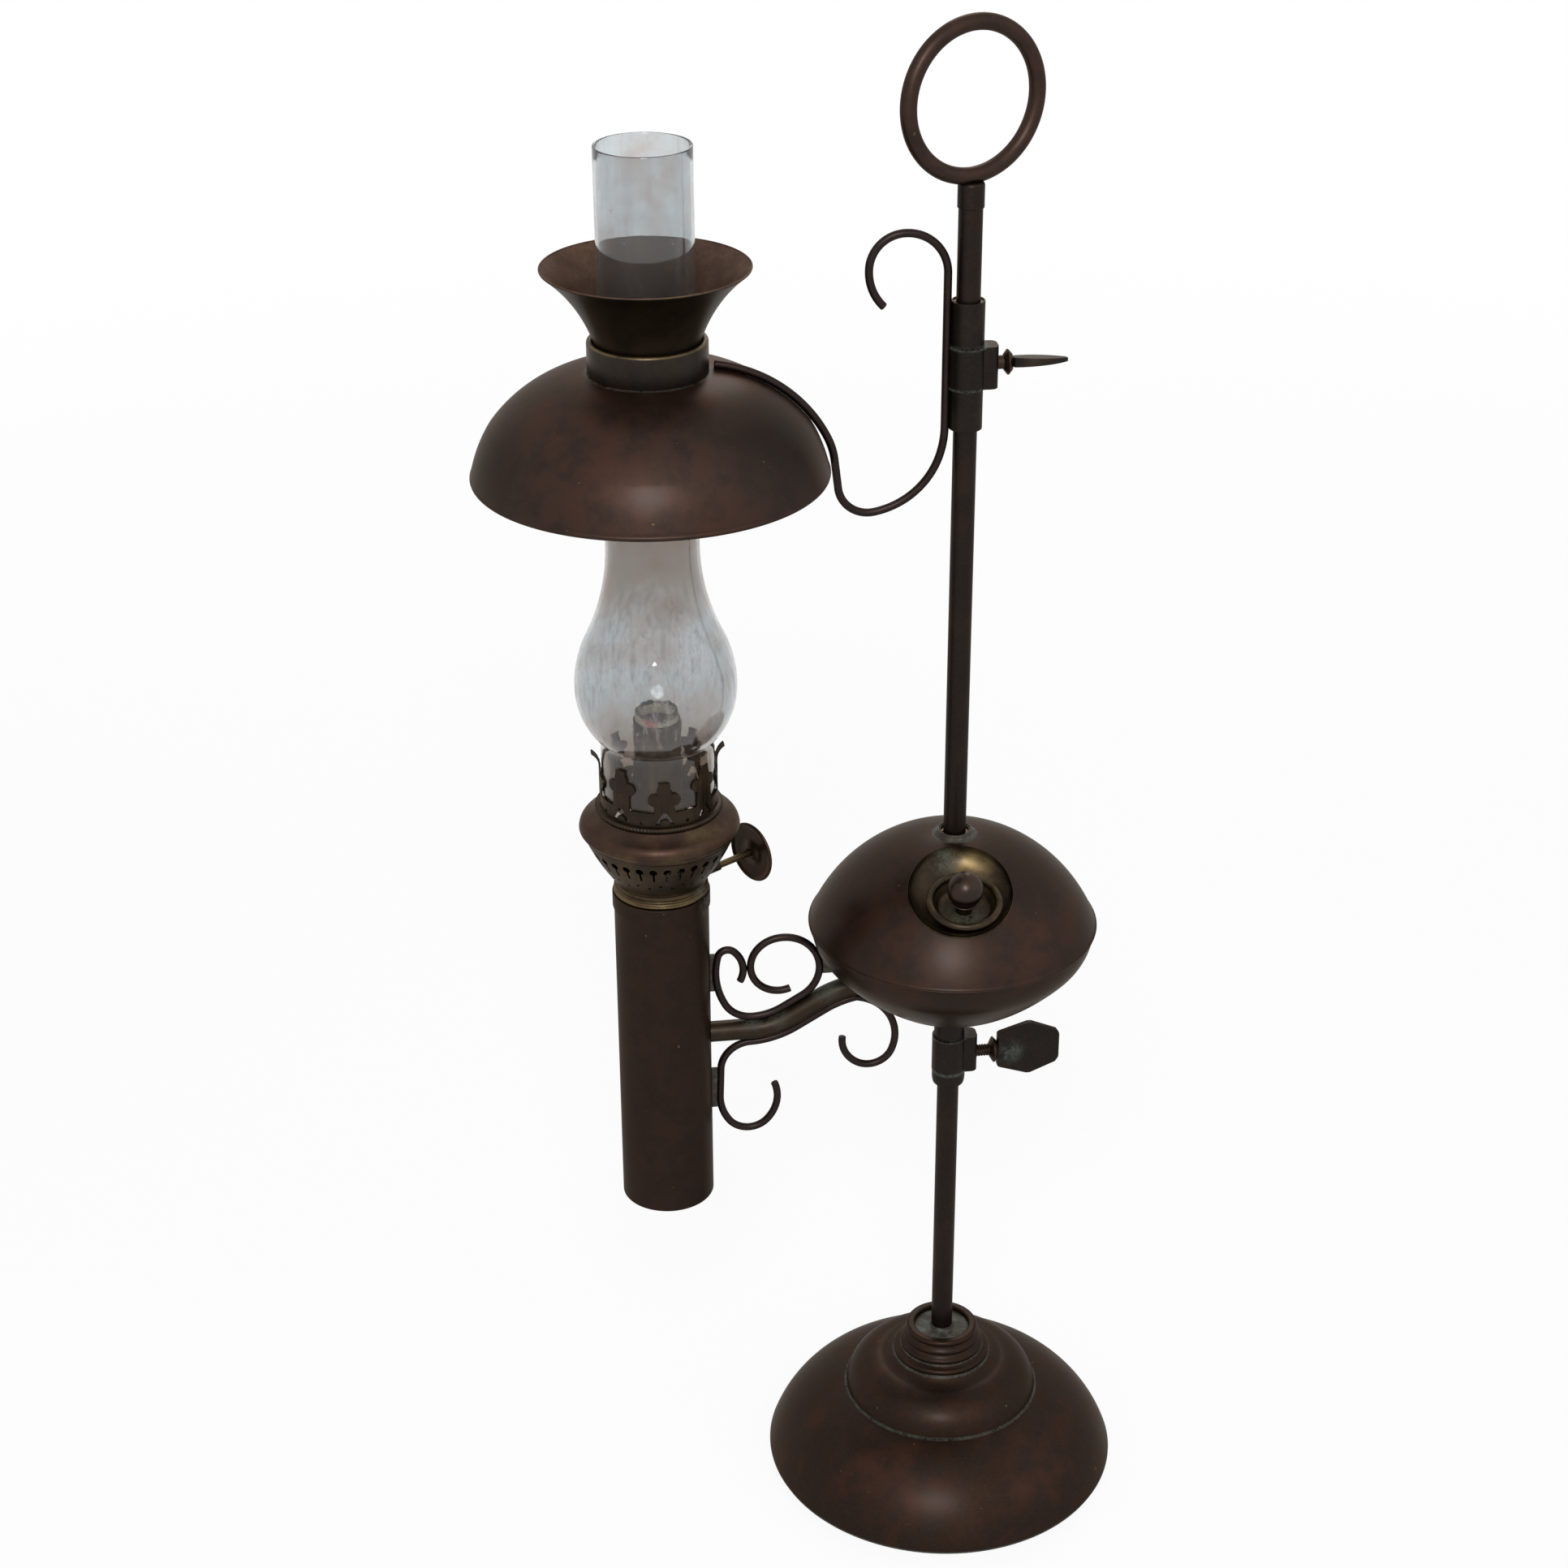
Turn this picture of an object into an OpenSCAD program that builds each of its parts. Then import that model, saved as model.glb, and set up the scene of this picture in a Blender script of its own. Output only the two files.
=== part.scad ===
// Adjustable student lamp: a copper table lamp whose fuel font and shade slide on a tall stem.
// The stem stands on the z axis, the base rests on z = 0 and the burner hangs on the -x side.
// The font, its arm and the side burner are one unit; the shade has its own sleeve and scroll arm.

/* [Stand] */
// Diameter of the base at the floor
base_d = 176; // [168:1:190]
// Height of the joint between the two base domes
base_joint_z = 40; // [39:0.5:41]
// Height of the lip at the top of the base neck
neck_z = 76.5; // [75:0.5:79]
// Diameter of the stem rod
stem_d = 10.5; // [10:0.1:11]
// Height of the middle of the carrying ring
ring_z = 702.5; // [698:0.5:720]
// Outer diameter of the carrying ring
ring_od = 71; // [60:1:76]
// Turn of the carrying ring about the stem
ring_turn = 22; // [0:1:90]

/* [Font] */
// Diameter of the fuel font at its seam
font_d = 135; // [134:0.5:137]
// Height of the seam between the two font shells
seam_z = 313; // [312:0.5:314]
// Tilt of the filler towards the front
filler_tilt = 30; // [28:1:32]
// Turn of the filler from the front towards the burner
filler_turn = 6; // [0:1:12]
// Distance of the burner axis from the stem axis
reach = 138; // [137.5:0.5:140]
// Outside diameter of the fuel arm
fuel_d = 10; // [9:0.5:11]
// Diameter of the wire of the scrolls and of the shade arm
wire_d = 3.6; // [3:0.1:4]

/* [Burner] */
// Outside diameter of the burner tube
tube_d = 44; // [43.5:0.1:44.5]
// Height of the underside of the burner tube
tube_z = 174; // [160:1:190]
// Number of keyholes round the basket
keyholes = 32; // [24:2:36]
// Widest diameter of the burner flange
flange_d = 73.6; // [72:0.2:75]
// Distance from the wick shaft's foot to the middle of its knob
knob_out = 44; // [38:1:46]

/* [Chimney] */
// Outside diameter of the foot of the glass
glass_foot_d = 51.8; // [51:0.1:52.2]
// Outside diameter of the straight part of the glass
glass_top_d = 41.8; // [41:0.1:42]
// Widest diameter of the bulge of the glass
bulge_d = 73.4; // [72:0.2:74]
// Height of the top of the glass
glass_top_z = 689; // [670:1:700]
// Thickness of the glass
glass_t = 1.5; // [1.2:0.1:1.8]

/* [Shade] */
// Diameter of the shade at its rolled rim
shade_d = 155.6; // [152:0.2:158]
// Height of the rim of the shade
rim_z = 547; // [546:0.5:548]
// Widest diameter of the flared collar over the shade
flare_d = 89.6; // [86:0.2:92]

/* [Hidden] */
$fn = 72;
// sheet metal and running clearances
sheet = 0.8;
slip = 0.04;
// how far soldered pieces sink into each other
solder = 0.05;
// stem, bushes and the tubes that slide on it
stem_r = stem_d / 2;
bush_r = 6.45;
sleeve_ri = bush_r + slip;
sleeve_ro = 7.35;
// clamps
clamp_r = 8.2;
clamp_h = 19;
boss_x = 13.4;
boss_w = 10;
screw_r = 3;
font_clamp_z = 229.5;
shade_clamp_z = 577.5;
font_screw_z = font_clamp_z + 8.5;
shade_screw_z = shade_clamp_z + 10.5;
font_screw_turn = 0;
shade_screw_turn = 78;
// base
base_r = base_d / 2;
base_dome_r = 57;
base_floor = 1.2;
cap_r = 48.4;
recess_r = 13.7;
ballast_top = 20;
nut_z = 2;
washer_z = 8;
// carrying ring
ring_wire_r = 3.6;
ring_r = ring_od / 2 - ring_wire_r;
ferrule_top = ring_z - ring_od / 2 + 1;
// font
tube_r = tube_d / 2;
font_r = font_d / 2;
font_top_z = 360;
font_bottom_z = 260.5;
knee = [font_r - 6, 297];
knee_r = 25.1;
under_r = 122;
over_r = 77;
filler_r = 36;
cup_r = 24.2;
cap_shift = [1, 8.5];
cap_tilt = 18;
neck_r = 8.2;
// fuel arm and scrolls, as [radius, turn] or [length, 0], in the x-z plane
wire_r = wire_d / 2;
fuel_r = fuel_d / 2;
fuel_z = 260.5;
bend_x = -96;
bend_r = 35;
bend_a = 31;
fuel_path = [[reach - tube_r + 0.5 + bend_x, 0], [bend_r, bend_a], [16, 0], [52, -20], [15, 0]];
scroll_gap = fuel_r + wire_r - solder;
upper_start = [bend_x, fuel_z + scroll_gap];
upper_fore = [[bend_r - scroll_gap, bend_a], [10.9, 0], [17.5, 64], [17.5, 101], [14.7, 92], [13.7, 94]];
upper_back = [[14.6, -62], [37, -42], [4.6, -118], [13.5, -76]];
slope_start = [bend_x + bend_r * sin(bend_a), fuel_z + bend_r * (1 - cos(bend_a))];
lower_start = slope_start + scroll_gap * [sin(bend_a), -cos(bend_a)];
lower_fore = [[16, 0], [45, -20], [2.5, -21.5], [22.7, -101.5], [11.8, -102], [15, -64]];
lower_back = [[45, -30], [14.8, 87], [15, 0], [23.7, 37], [11.8, 102], [19.6, 65]];
// burner
tube_top_z = 341;
collar_z = 347;
basket_top_z = 371.5;
flange_r = flange_d / 2;
foot_z = 384;
crown_ro = 27;
crown_t = 0.6;
crown_waist_z = 393.5;
wick_tube_ro = 10.9;
wick_ro = 9.7;
wick_ri = 8.5;
air_ro = 8.2;
shaft_z = 349.5;
shaft_turn = 33;
shaft_off = 13.4;
shaft_r = 1.6;
spur_r = 4;
// shade
shade_r = shade_d / 2;
shade_neck_r = 26;
crease = [74.2, 559.5];
dome_r = 63.5;
shade_neck_z = 592;
ring_top_z = 606.5;
flare_top_z = 637.5;
throat_r = 22.6;
neck_bead_r = 1.5;
ledge_z = 600;
arm_x = sleeve_ro + wire_r - solder;
hook_path = [[68.7, 0], [18.3, 94], [15.6, 81], [21.7, 51]];
arm_path = [[44.5, -16.4], [36.2, -64.8], [13.8, -91.8], [13.4, 0], [33, 19],
    [dome_r + wire_r - solder, 55.5]];

copper = "#5a3a2e";
dark_copper = "#46342c";
aged_brass = "#6f5f35";
verdigris = "#6f7468";

// ---------- profiles made of true arcs ----------

// centre of the circle of radius |r| through p and q; it lies right of p -> q, or left if r < 0
function arc_centre(p, q, r) =
    let (m = (p + q) / 2, d = q - p, l = norm(d), h = sqrt(r * r - l * l / 4))
    m + sign(r) * h * [d[1], -d[0]] / l;

// a wall of thickness t along the arc from p to q; t > 0 thickens towards the centre
// link = true adds a small bead at q, which ties it to the next piece of the same sheet
module arc_wall(p, q, r, t, link = false) {
    c = arc_centre(p, q, r);
    a = atan2(p[1] - c[1], p[0] - c[0]);
    b0 = atan2(q[1] - c[1], q[0] - c[0]);
    b = b0 - a > 180 ? b0 - 360 : b0 - a < -180 ? b0 + 360 : b0;
    far = 3 * (abs(r) + abs(t));
    translate(c) intersection() {
        difference() {
            circle(r = max(abs(r), abs(r) - t), $fn = 360);
            circle(r = min(abs(r), abs(r) - t), $fn = 360);
        }
        polygon([[0, 0], far * [cos(a), sin(a)], far * [cos((a + b) / 2), sin((a + b) / 2)],
            far * [cos(b), sin(b)]]);
    }
    if (link) translate(q + (c - q) * t / 2 / abs(r)) circle(r = abs(t) / 2 + solder, $fn = 32);
}

// a straight sheet from p to q, thickened to the left of p -> q
module straight_wall(p, q, t) {
    n = t * [p[1] - q[1], q[0] - p[0]] / norm(q - p);
    polygon(t > 0 ? [p, q, q + n, p + n] : [p, p + n, q + n, q]);
}

// a tube between two heights
module pipe(ro, ri, z0, z1) {
    translate([0, 0, z0]) difference() {
        cylinder(r = ro, h = z1 - z0);
        translate([0, 0, -1]) cylinder(r = ri, h = z1 - z0 + 2);
    }
}

// a narrow collar that ties two steps of a rod together
module rod_collar(r) {
    translate([-0.3, 0, 0]) rotate([0, 90, 0]) cylinder(r = 1.03 * r, h = 0.6, $fn = 32);
}

// a round rod that starts along +x in the x-y plane and follows [radius, turn] and [length, 0] steps
module bent_rod(path, r, i = 0) {
    if (i > 0 && i < len(path)) rod_collar(r);
    if (i < len(path)) {
        size = path[i][0];
        turn = path[i][1];
        if (turn == 0) {
            rotate([0, 90, 0]) cylinder(r = r, h = size, $fn = 32);
            translate([size, 0, 0]) bent_rod(path, r, i + 1);
        } else {
            side = sign(turn);
            translate([0, side * size, 0])
                rotate([0, 0, side > 0 ? -90 : 90 + turn])
                    rotate_extrude(angle = abs(turn), $fn = 96)
                        translate([size, 0]) circle(r = r, $fn = 32);
            translate([size * abs(sin(turn)) * (abs(turn) > 180 ? -1 : 1),
                side * size * (1 - cos(turn)), 0])
                rotate([0, 0, turn]) bent_rod(path, r, i + 1);
        }
    }
}

// where a path has got to after n steps, as [point, heading], and the centre of its n-th bend
function left_of(h) = [-sin(h), cos(h)];
function path_at(path, n, p, h, i = 0) = i == n ? [p, h] : path[i][1] == 0
    ? path_at(path, n, p + path[i][0] * [cos(h), sin(h)], h, i + 1)
    : path_at(path, n, p + sign(path[i][1]) * path[i][0] * (left_of(h) - left_of(h + path[i][1])),
        h + path[i][1], i + 1);
function bend_centre(path, n, p, h) = let (s = path_at(path, n, p, h))
    s[0] + sign(path[n][1]) * path[n][0] * left_of(s[1]);

// the same rod placed in the x-z plane, at p = [x, z], setting out at the given angle
module rod_from(p, heading, path, r) {
    translate([p[0], 0, p[1]]) rotate([90, 0, 0]) rotate([0, 0, heading])
        if (len(path) == 0) rod_collar(r);
        else bent_rod(path, r);
}

module at_burner() {
    translate([-reach, 0, 0]) children();
}

// the filler's own frame: origin on the font's upper shell, z along the filler's axis
module at_filler() {
    rotate([0, 0, -filler_turn]) translate([0, -filler_r, filler_z()]) rotate([filler_tilt, 0, 0])
        children();
}

// the wick shaft's frame: origin at the foot of the perpendicular, x along the shaft
module at_shaft() {
    at_burner() rotate([0, 0, shaft_turn]) translate([0, -shaft_off, shaft_z]) children();
}

// ---------- stand ----------

module base_felt() {
    color("#3d3a33") pipe(base_r - 1, 10, 0, base_floor);
}

module base_ballast() {
    color("#3a3a3a") difference() {
        rotate_extrude() polygon([[stem_r + 0.1, washer_z], [14, washer_z], [14, base_floor],
            [68, base_floor], [68, 12], [60, ballast_top], [stem_r + 0.1, ballast_top]]);
        for (a = [0 : 120 : 240]) rotate([0, 0, a]) translate([45, 0, 12])
            cylinder(r = 4, h = 10);
    }
}

module base_shell() {
    rim = [base_r, 3];
    joint = [cap_r - 0.6, base_joint_z];
    color(copper) rotate_extrude() union() {
        translate([base_r - 1.4, base_floor + 0.9]) circle(r = 0.9, $fn = 24);
        translate([base_r - sheet, base_floor + 0.9]) square([sheet, rim[1] - base_floor - 0.9]);
        arc_wall(joint, rim, base_dome_r, sheet);
        translate([cap_r - 5, base_joint_z - sheet]) square([4.6, sheet]);
    }
}

// outermost points of the steps of the cap's neck, from the wide one to the lip
function neck_steps() = [[24.2, 61.5], [21, 66], [19.2, neck_z - 6.1], [18, neck_z - 1.7]];

module base_cap() {
    crest = [31.5, 56.5];
    bead = 1.7;
    color(copper) rotate_extrude() union() {
        difference() {
            arc_wall(crest, [cap_r, base_joint_z], 18.9, sheet);
            square([cap_r + 5, base_joint_z]);
        }
        arc_wall([23.5, 60.6], crest, -11, -sheet, true);
        for (s = neck_steps()) {
            translate([s[0] - bead, s[1]]) circle(r = bead, $fn = 32);
            translate([recess_r, s[1] - bead - 1.2]) square([s[0] - bead - recess_r, 2 * bead + 1.2]);
        }
        translate([recess_r, 66]) square([1.6, neck_z - 68]);
    }
}

module neck_bush() {
    color(verdigris) rotate_extrude() polygon([[stem_r, 58], [recess_r, 58], [recess_r, neck_z - 2.4],
        [stem_r + 1.4, neck_z - 2.1], [stem_r + 0.6, neck_z - 0.6], [stem_r, neck_z - 0.6]]);
}

module stem_rod() {
    color(dark_copper) translate([0, 0, nut_z]) cylinder(r = stem_r, h = ferrule_top - 3 - nut_z);
}

module stem_washer() {
    color("#777777") pipe(11, stem_r, washer_z - 1.5, washer_z);
}

module stem_nut() {
    color("#777777") translate([0, 0, nut_z]) difference() {
        cylinder(r = 9.8, h = washer_z - 1.5 - nut_z, $fn = 6);
        translate([0, 0, -1]) cylinder(r = stem_r, h = 10);
    }
}

module ring_ferrule() {
    color(dark_copper) difference() {
        union() {
            translate([0, 0, ferrule_top - 11]) cylinder(r = 5.8, h = 10);
            translate([0, 0, ferrule_top - 1]) cylinder(r1 = 5.8, r2 = 4.9, h = 1);
        }
        translate([0, 0, ferrule_top - 12]) cylinder(r = stem_r, h = 9);
        translate([0, 0, ferrule_top - 4]) cylinder(r = 3, h = 6);
    }
}

module finial_ring() {
    color(copper) union() {
        translate([0, 0, ring_z]) rotate([0, 0, ring_turn]) rotate([90, 0, 0])
            rotate_extrude() translate([ring_r, 0]) circle(r = ring_wire_r, $fn = 36);
        translate([0, 0, ferrule_top - 3]) cylinder(r = 3, h = 5);
    }
}

// ---------- split bushes, one in each sliding sleeve ----------

module split_bush(z0, z1) {
    difference() {
        pipe(bush_r, stem_r + slip, z0, z1);
        translate([-bush_r - 1, -0.6, z0 - 1]) cube([bush_r, 1.2, z1 - z0 + 2]);
    }
}

module font_bush() {
    color("#8a7a3c") split_bush(224, font_top_z);
}

module shade_bush() {
    color("#8a7a3c") split_bush(560, 616);
}

// ---------- clamp block with its boss, and the thumbscrews ----------

module clamp_block(z0, screw_z) {
    difference() {
        union() {
            translate([0, 0, z0]) cylinder(r = clamp_r, h = clamp_h);
            translate([0, -boss_w / 2, z0]) cube([boss_x - 3, boss_w, clamp_h]);
            translate([0, -boss_w / 2 + 3, z0]) cube([boss_x, boss_w - 6, clamp_h]);
            for (y = [-1, 1]) translate([boss_x - 3, y * (boss_w / 2 - 3), z0])
                cylinder(r = 3, h = clamp_h);
        }
        translate([0, 0, z0 - 1]) cylinder(r = sleeve_ro, h = clamp_h + 2);
        screw_hole(screw_z);
    }
}

module screw_hole(z) {
    translate([0, 0, z]) rotate([0, 90, 0]) cylinder(r = screw_r + slip, h = 30);
}

module font_clamp_block() {
    color(dark_copper) clamp_block(font_clamp_z, font_screw_z);
}

// the arm's wire lies in a groove down the back of this block
module shade_clamp_block() {
    color(dark_copper) difference() {
        clamp_block(shade_clamp_z, shade_screw_z);
        translate([-arm_x, 0, shade_clamp_z - 1]) cylinder(r = wire_r + slip, h = clamp_h + 2);
    }
}

// shank, rim and waist of a thumbscrew, along +x from the bush
module screw_body(z, shoulder, rim_r) {
    translate([0, 0, z]) rotate([0, 90, 0]) {
        translate([0, 0, bush_r + 0.1]) cylinder(r = screw_r, h = shoulder - bush_r - 0.1);
        translate([0, 0, shoulder]) cylinder(r1 = screw_r + 0.6, r2 = rim_r, h = 1.8);
        translate([0, 0, shoulder + 1.8]) cylinder(r1 = rim_r, r2 = rim_r - 1.6, h = 2);
    }
}

module font_screw() {
    color(dark_copper) screw_body(font_screw_z, 20, 6.3);
}

module shade_screw() {
    color(dark_copper) screw_body(shade_screw_z, 16.2, 5.6);
}

// the flat wing is cut from a wedge that thins towards the tip
module wedge_wing(x0, x1, root_t, tip_t) {
    intersection() {
        rotate([90, 0, 0]) translate([0, 0, -20]) linear_extrude(40) children();
        translate([0, 0, -20]) linear_extrude(40)
            polygon([[x0, -root_t / 2], [x1, -tip_t / 2], [x1, tip_t / 2], [x0, root_t / 2]]);
    }
}

module font_screw_wing() {
    root = 23.8;
    color(dark_copper) translate([0, 0, font_screw_z]) rotate([font_screw_turn, 0, 0])
        wedge_wing(root, 55, 4.6, 2.4)
            polygon([[root, -8.6], [root + 1, -9.4], [38.5, -14.2], [40.5, -14.2], [53, -9.2],
                [54.6, -6.6], [54.6, 6.6], [53, 9.2], [40.5, 14.2], [38.5, 14.2], [root + 1, 9.4],
                [root, 8.6]]);
}

module shade_screw_wing() {
    root = 20;
    tip = 44.5;
    color(dark_copper) translate([0, 0, shade_screw_z]) rotate([shade_screw_turn, 0, 0])
        wedge_wing(root, tip, 4.4, 1.8)
            intersection() {
                translate([31, -9.2]) circle(r = 17.2, $fn = 180);
                translate([31, 9.2]) circle(r = 17.2, $fn = 180);
                translate([root, -9]) square([tip - root, 18]);
            }
}

// ---------- font ----------

// the font's two shells are dished about the stem; the upper one's skirt laps the lower one's edge
function over_c() = arc_centre([sleeve_ro, font_top_z - 0.6], [font_r + 0.4, seam_z], over_r);
function over_z(r) = over_c()[1] + sqrt(over_r * over_r - pow(r - over_c()[0], 2));
function filler_z() = over_z(filler_r);
function under_c() = arc_centre(knee, [sleeve_ro, font_bottom_z], under_r);

module clear_of_sleeve() {
    difference() {
        children();
        translate([0, font_bottom_z - 20]) square([sleeve_ro, 150]);
    }
}

module font_lower_shell() {
    lip = [font_r - sheet + 0.4, seam_z - 0.5];
    color(dark_copper) difference() {
        rotate_extrude() clear_of_sleeve() {
            arc_wall(lip, knee, knee_r, sheet, true);
            arc_wall(knee, [sleeve_ro - 0.5, font_bottom_z - 0.1], under_r, sheet);
        }
        fuel_line(fuel_r);
    }
}

module font_upper_shell() {
    color(copper) difference() {
        rotate_extrude() clear_of_sleeve() {
            arc_wall([sleeve_ro - 0.5, over_z(sleeve_ro - 0.5)], [font_r + 0.4, seam_z], over_r, sheet);
            translate([font_r - sheet + 0.4, seam_z - 1.6]) square([sheet, 2]);
        }
        at_filler() translate([0, 0, -16]) cylinder(r = cup_r, h = 30);
    }
}

module font_center_tube() {
    color(dark_copper) difference() {
        pipe(sleeve_ro, sleeve_ri, 222.5, font_top_z + 1);
        screw_hole(font_screw_z);
    }
}

module font_top_ferrule() {
    color(verdigris) rotate_extrude() difference() {
        polygon([[sleeve_ro, over_z(16)], [12.5, over_z(16)], [12, over_z(12) + 0.9],
            [9.5, over_z(9.5) + 1.1], [8.6, font_top_z + 1.4], [sleeve_ro, font_top_z + 1.4]]);
        translate(over_c()) circle(r = over_r, $fn = 360);
    }
}

module font_end_ring() {
    color(dark_copper) rotate_extrude() polygon([[sleeve_ro, 222.5], [sleeve_ro + 0.2, 222.5],
        [clamp_r - 0.2, 225.5], [clamp_r - 0.2, font_clamp_z], [sleeve_ro, font_clamp_z]]);
}

// dish that is sunk into the upper shell; its edge is trimmed to the shell
module filler_cup() {
    color(aged_brass) difference() {
        intersection() {
            at_filler() rotate_extrude() polygon([[0, -9.4], [14, -9.4], [cup_r - 0.9, -3.6],
                [cup_r, -2.4], [cup_r, 4], [cup_r - 0.7, 4], [cup_r - 0.7, -2], [13.6, -8.6],
                [0, -8.6]]);
            rotate_extrude() intersection() {
                translate(over_c()) circle(r = over_r + 0.6, $fn = 360);
                translate([0, 300]) square([90, 70]);
            }
        }
        at_cap() translate([0, 0, -25]) cylinder(r = neck_r, h = 40);
    }
}

// the cap's own frame: the neck and the cap stand more upright than the cup
module at_cap() {
    at_filler() translate([cap_shift[0], -cap_shift[1], 0]) rotate([cap_tilt - filler_tilt, 0, 0])
        children();
}

module filler_neck() {
    color(aged_brass) at_cap() pipe(neck_r, neck_r - 0.8, -20, -5);
}

module filler_cap_plug() {
    color(aged_brass) at_cap() translate([0, 0, -14]) cylinder(r = neck_r - 0.9, h = 9);
}

module filler_cap_dish() {
    color(aged_brass) at_cap() rotate_extrude() union() {
        polygon([[0, -5], [10, -5], [12.6, -3.6], [15.6, 1.2], [14.9, 1.7], [12, -2.9], [9.8, -4.2],
            [0, -4.2]]);
        translate([15.9, 1.6]) circle(r = 1.6, $fn = 32);
    }
}

module filler_cap_knob() {
    color(copper) at_cap() rotate_extrude() intersection() {
        union() {
            translate([0, -4.2]) square([3.8, 8]);
            translate([0, 2.4]) square([6.8, 1]);
            translate([0, 9.6]) circle(r = 8.3, $fn = 72);
        }
        translate([0, -4.2]) square([12, 24]);
    }
}

// ---------- fuel arm and scrolls ----------

module fuel_line(r) {
    rod_from([bend_x - fuel_path[0][0], fuel_z], 0, fuel_path, r);
}

module fuel_arm_tube() {
    color(dark_copper) difference() {
        fuel_line(fuel_r);
        fuel_line(fuel_r - 1);
    }
}

module upper_scroll() {
    color(dark_copper) union() {
        rod_from(upper_start, 0, upper_fore, wire_r);
        rod_from(upper_start, 180, upper_back, wire_r);
        rod_from(upper_start, 0, [], wire_r);
    }
}

// the lower scroll leaves the underside of the arm where its straight slope begins
module lower_scroll() {
    color(dark_copper) union() {
        rod_from(lower_start, bend_a, lower_fore, wire_r);
        rod_from(lower_start, bend_a + 180, lower_back, wire_r);
        rod_from(lower_start, bend_a, [], wire_r);
    }
}

// a flat strip soldered edgeways between a scroll and its neighbour, drawn in the x-z plane
module strip() {
    rotate([90, 0, 0]) translate([0, 0, -0.7]) linear_extrude(1.4) children();
}

// the disc inside the n-th bend of a scroll, out to just within the wire's far side
module bend_disc(path, n, start, heading) {
    translate(bend_centre(path, n, start, heading))
        circle(r = path[n][0] + wire_r - solder, $fn = 360);
}

module upper_scroll_tab() {
    color(verdigris) difference() {
        strip() difference() {
            translate([-reach + tube_r - 1, 283]) square([6, 20]);
            bend_disc(upper_back, 1, upper_start, 180);
        }
        at_burner() translate([0, 0, 250]) cylinder(r = tube_r, h = 80);
    }
}

module lower_scroll_tab() {
    reach_in = path_at(lower_back, 2, lower_start, bend_a + 180)[0][0] - wire_r;
    color(verdigris) difference() {
        strip() translate([-reach + tube_r - 1, 218])
            square([reach_in + solder + reach - tube_r + 1, 22]);
        at_burner() translate([0, 0, 200]) cylinder(r = tube_r, h = 80);
    }
}

module font_scroll_tab() {
    color(verdigris) strip() difference() {
        translate([-66, 288.5]) square([9, 8]);
        bend_disc(upper_fore, 2, upper_start, 0);
        mirror([1, 0]) translate(under_c()) circle(r = under_r, $fn = 360);
    }
}

// ---------- burner ----------

module burner_tube() {
    color(dark_copper) difference() {
        at_burner() rotate_extrude() union() {
            translate([tube_r - sheet, tube_z]) square([sheet, tube_top_z - tube_z]);
            translate([tube_r - sheet, tube_top_z - 8]) square([sheet + 0.7, 8]);
        }
        fuel_line(fuel_r);
    }
}

module burner_tube_floor() {
    color(dark_copper) at_burner() pipe(tube_r - sheet, air_ro, tube_z + 2, tube_z + 3);
}

module tube_collar() {
    color(aged_brass) at_burner() rotate_extrude() union() {
        translate([tube_r - sheet - 0.7, 332]) square([0.7, collar_z - 332]);
        translate([tube_r - sheet + 0.3, tube_top_z + 1]) circle(r = 0.7, $fn = 24);
        translate([tube_r - sheet, tube_top_z + 3.4]) circle(r = 0.6, $fn = 24);
    }
}

module burner_deck() {
    color(aged_brass) at_burner() difference() {
        pipe(tube_r - sheet - 0.7, wick_tube_ro, 342, 343);
        for (a = [22.5 : 45 : 360]) rotate([0, 0, a]) translate([16, 0, 341])
            cylinder(r = 1.5, h = 3);
    }
}

// one keyhole, cut along +x through the sloping wall of the basket
module keyhole_cut() {
    translate([18, 0, 366.2]) rotate([0, 90, 0]) cylinder(r = 1.8, h = 25, $fn = 24);
    translate([18, -0.5, 360]) cube([25, 1, 6]);
}

module burner_basket() {
    color(aged_brass) difference() {
        at_burner() rotate_extrude() union() {
            arc_wall([34.9, basket_top_z], [20.5, collar_z], 100, 0.6);
            translate([tube_r - sheet - 0.7, collar_z]) square([0.6, 0.8]);
            translate([34.3, basket_top_z - 0.3]) square([0.6, 3]);
        }
        at_burner() for (i = [0 : keyholes - 1]) {
            rotate([0, 0, i * 360 / keyholes]) keyhole_cut();
            rotate([0, 0, (i + 0.5) * 360 / keyholes]) translate([15, 0, 354.4 + 1.6 * (i % 2)])
                rotate([0, 90, 0]) cylinder(r = 0.65, h = 20, $fn = 16);
        }
        at_shaft() rotate([0, 90, 0]) cylinder(r = 2.6, h = 40);
    }
}

module gallery_flange() {
    color(copper) at_burner() rotate_extrude() union() {
        straight_wall([28.6, foot_z], [34.4, 379.27], -sheet);
        arc_wall([33.95, 379.5], [flange_r, 375.4], 4.4, sheet);
        translate([flange_r - sheet - 0.02, 373]) square([sheet + 0.02, 2.6]);
        translate([34.9, 373]) square([flange_r - 34.9, sheet]);
        translate([34.9, 371.5]) square([sheet, 2]);
        translate([crown_ro, foot_z - sheet]) square([1.75, sheet - 0.25]);
    }
}

module gallery_ring() {
    color(aged_brass) at_burner() rotate_extrude() union() {
        translate([crown_ro, foot_z]) square([1.4, 2.8]);
        translate([crown_ro + 1.2, foot_z + 1.4]) circle(r = 1.2, $fn = 32);
    }
}

// face of one petal in the plane of its middle, x across and y up from the waist
module petal(tall) {
    waist = 4.6;
    translate([-waist, -1]) square([2 * waist, tall - 5]);
    for (x = [-4.4, 4.4]) translate([x, tall - 8.6]) circle(r = 3, $fn = 24);
    translate([0, tall - 4.6]) circle(r = 3.4, $fn = 24);
    translate([-2.6, tall - 4]) square([5.2, 4]);
}

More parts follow.
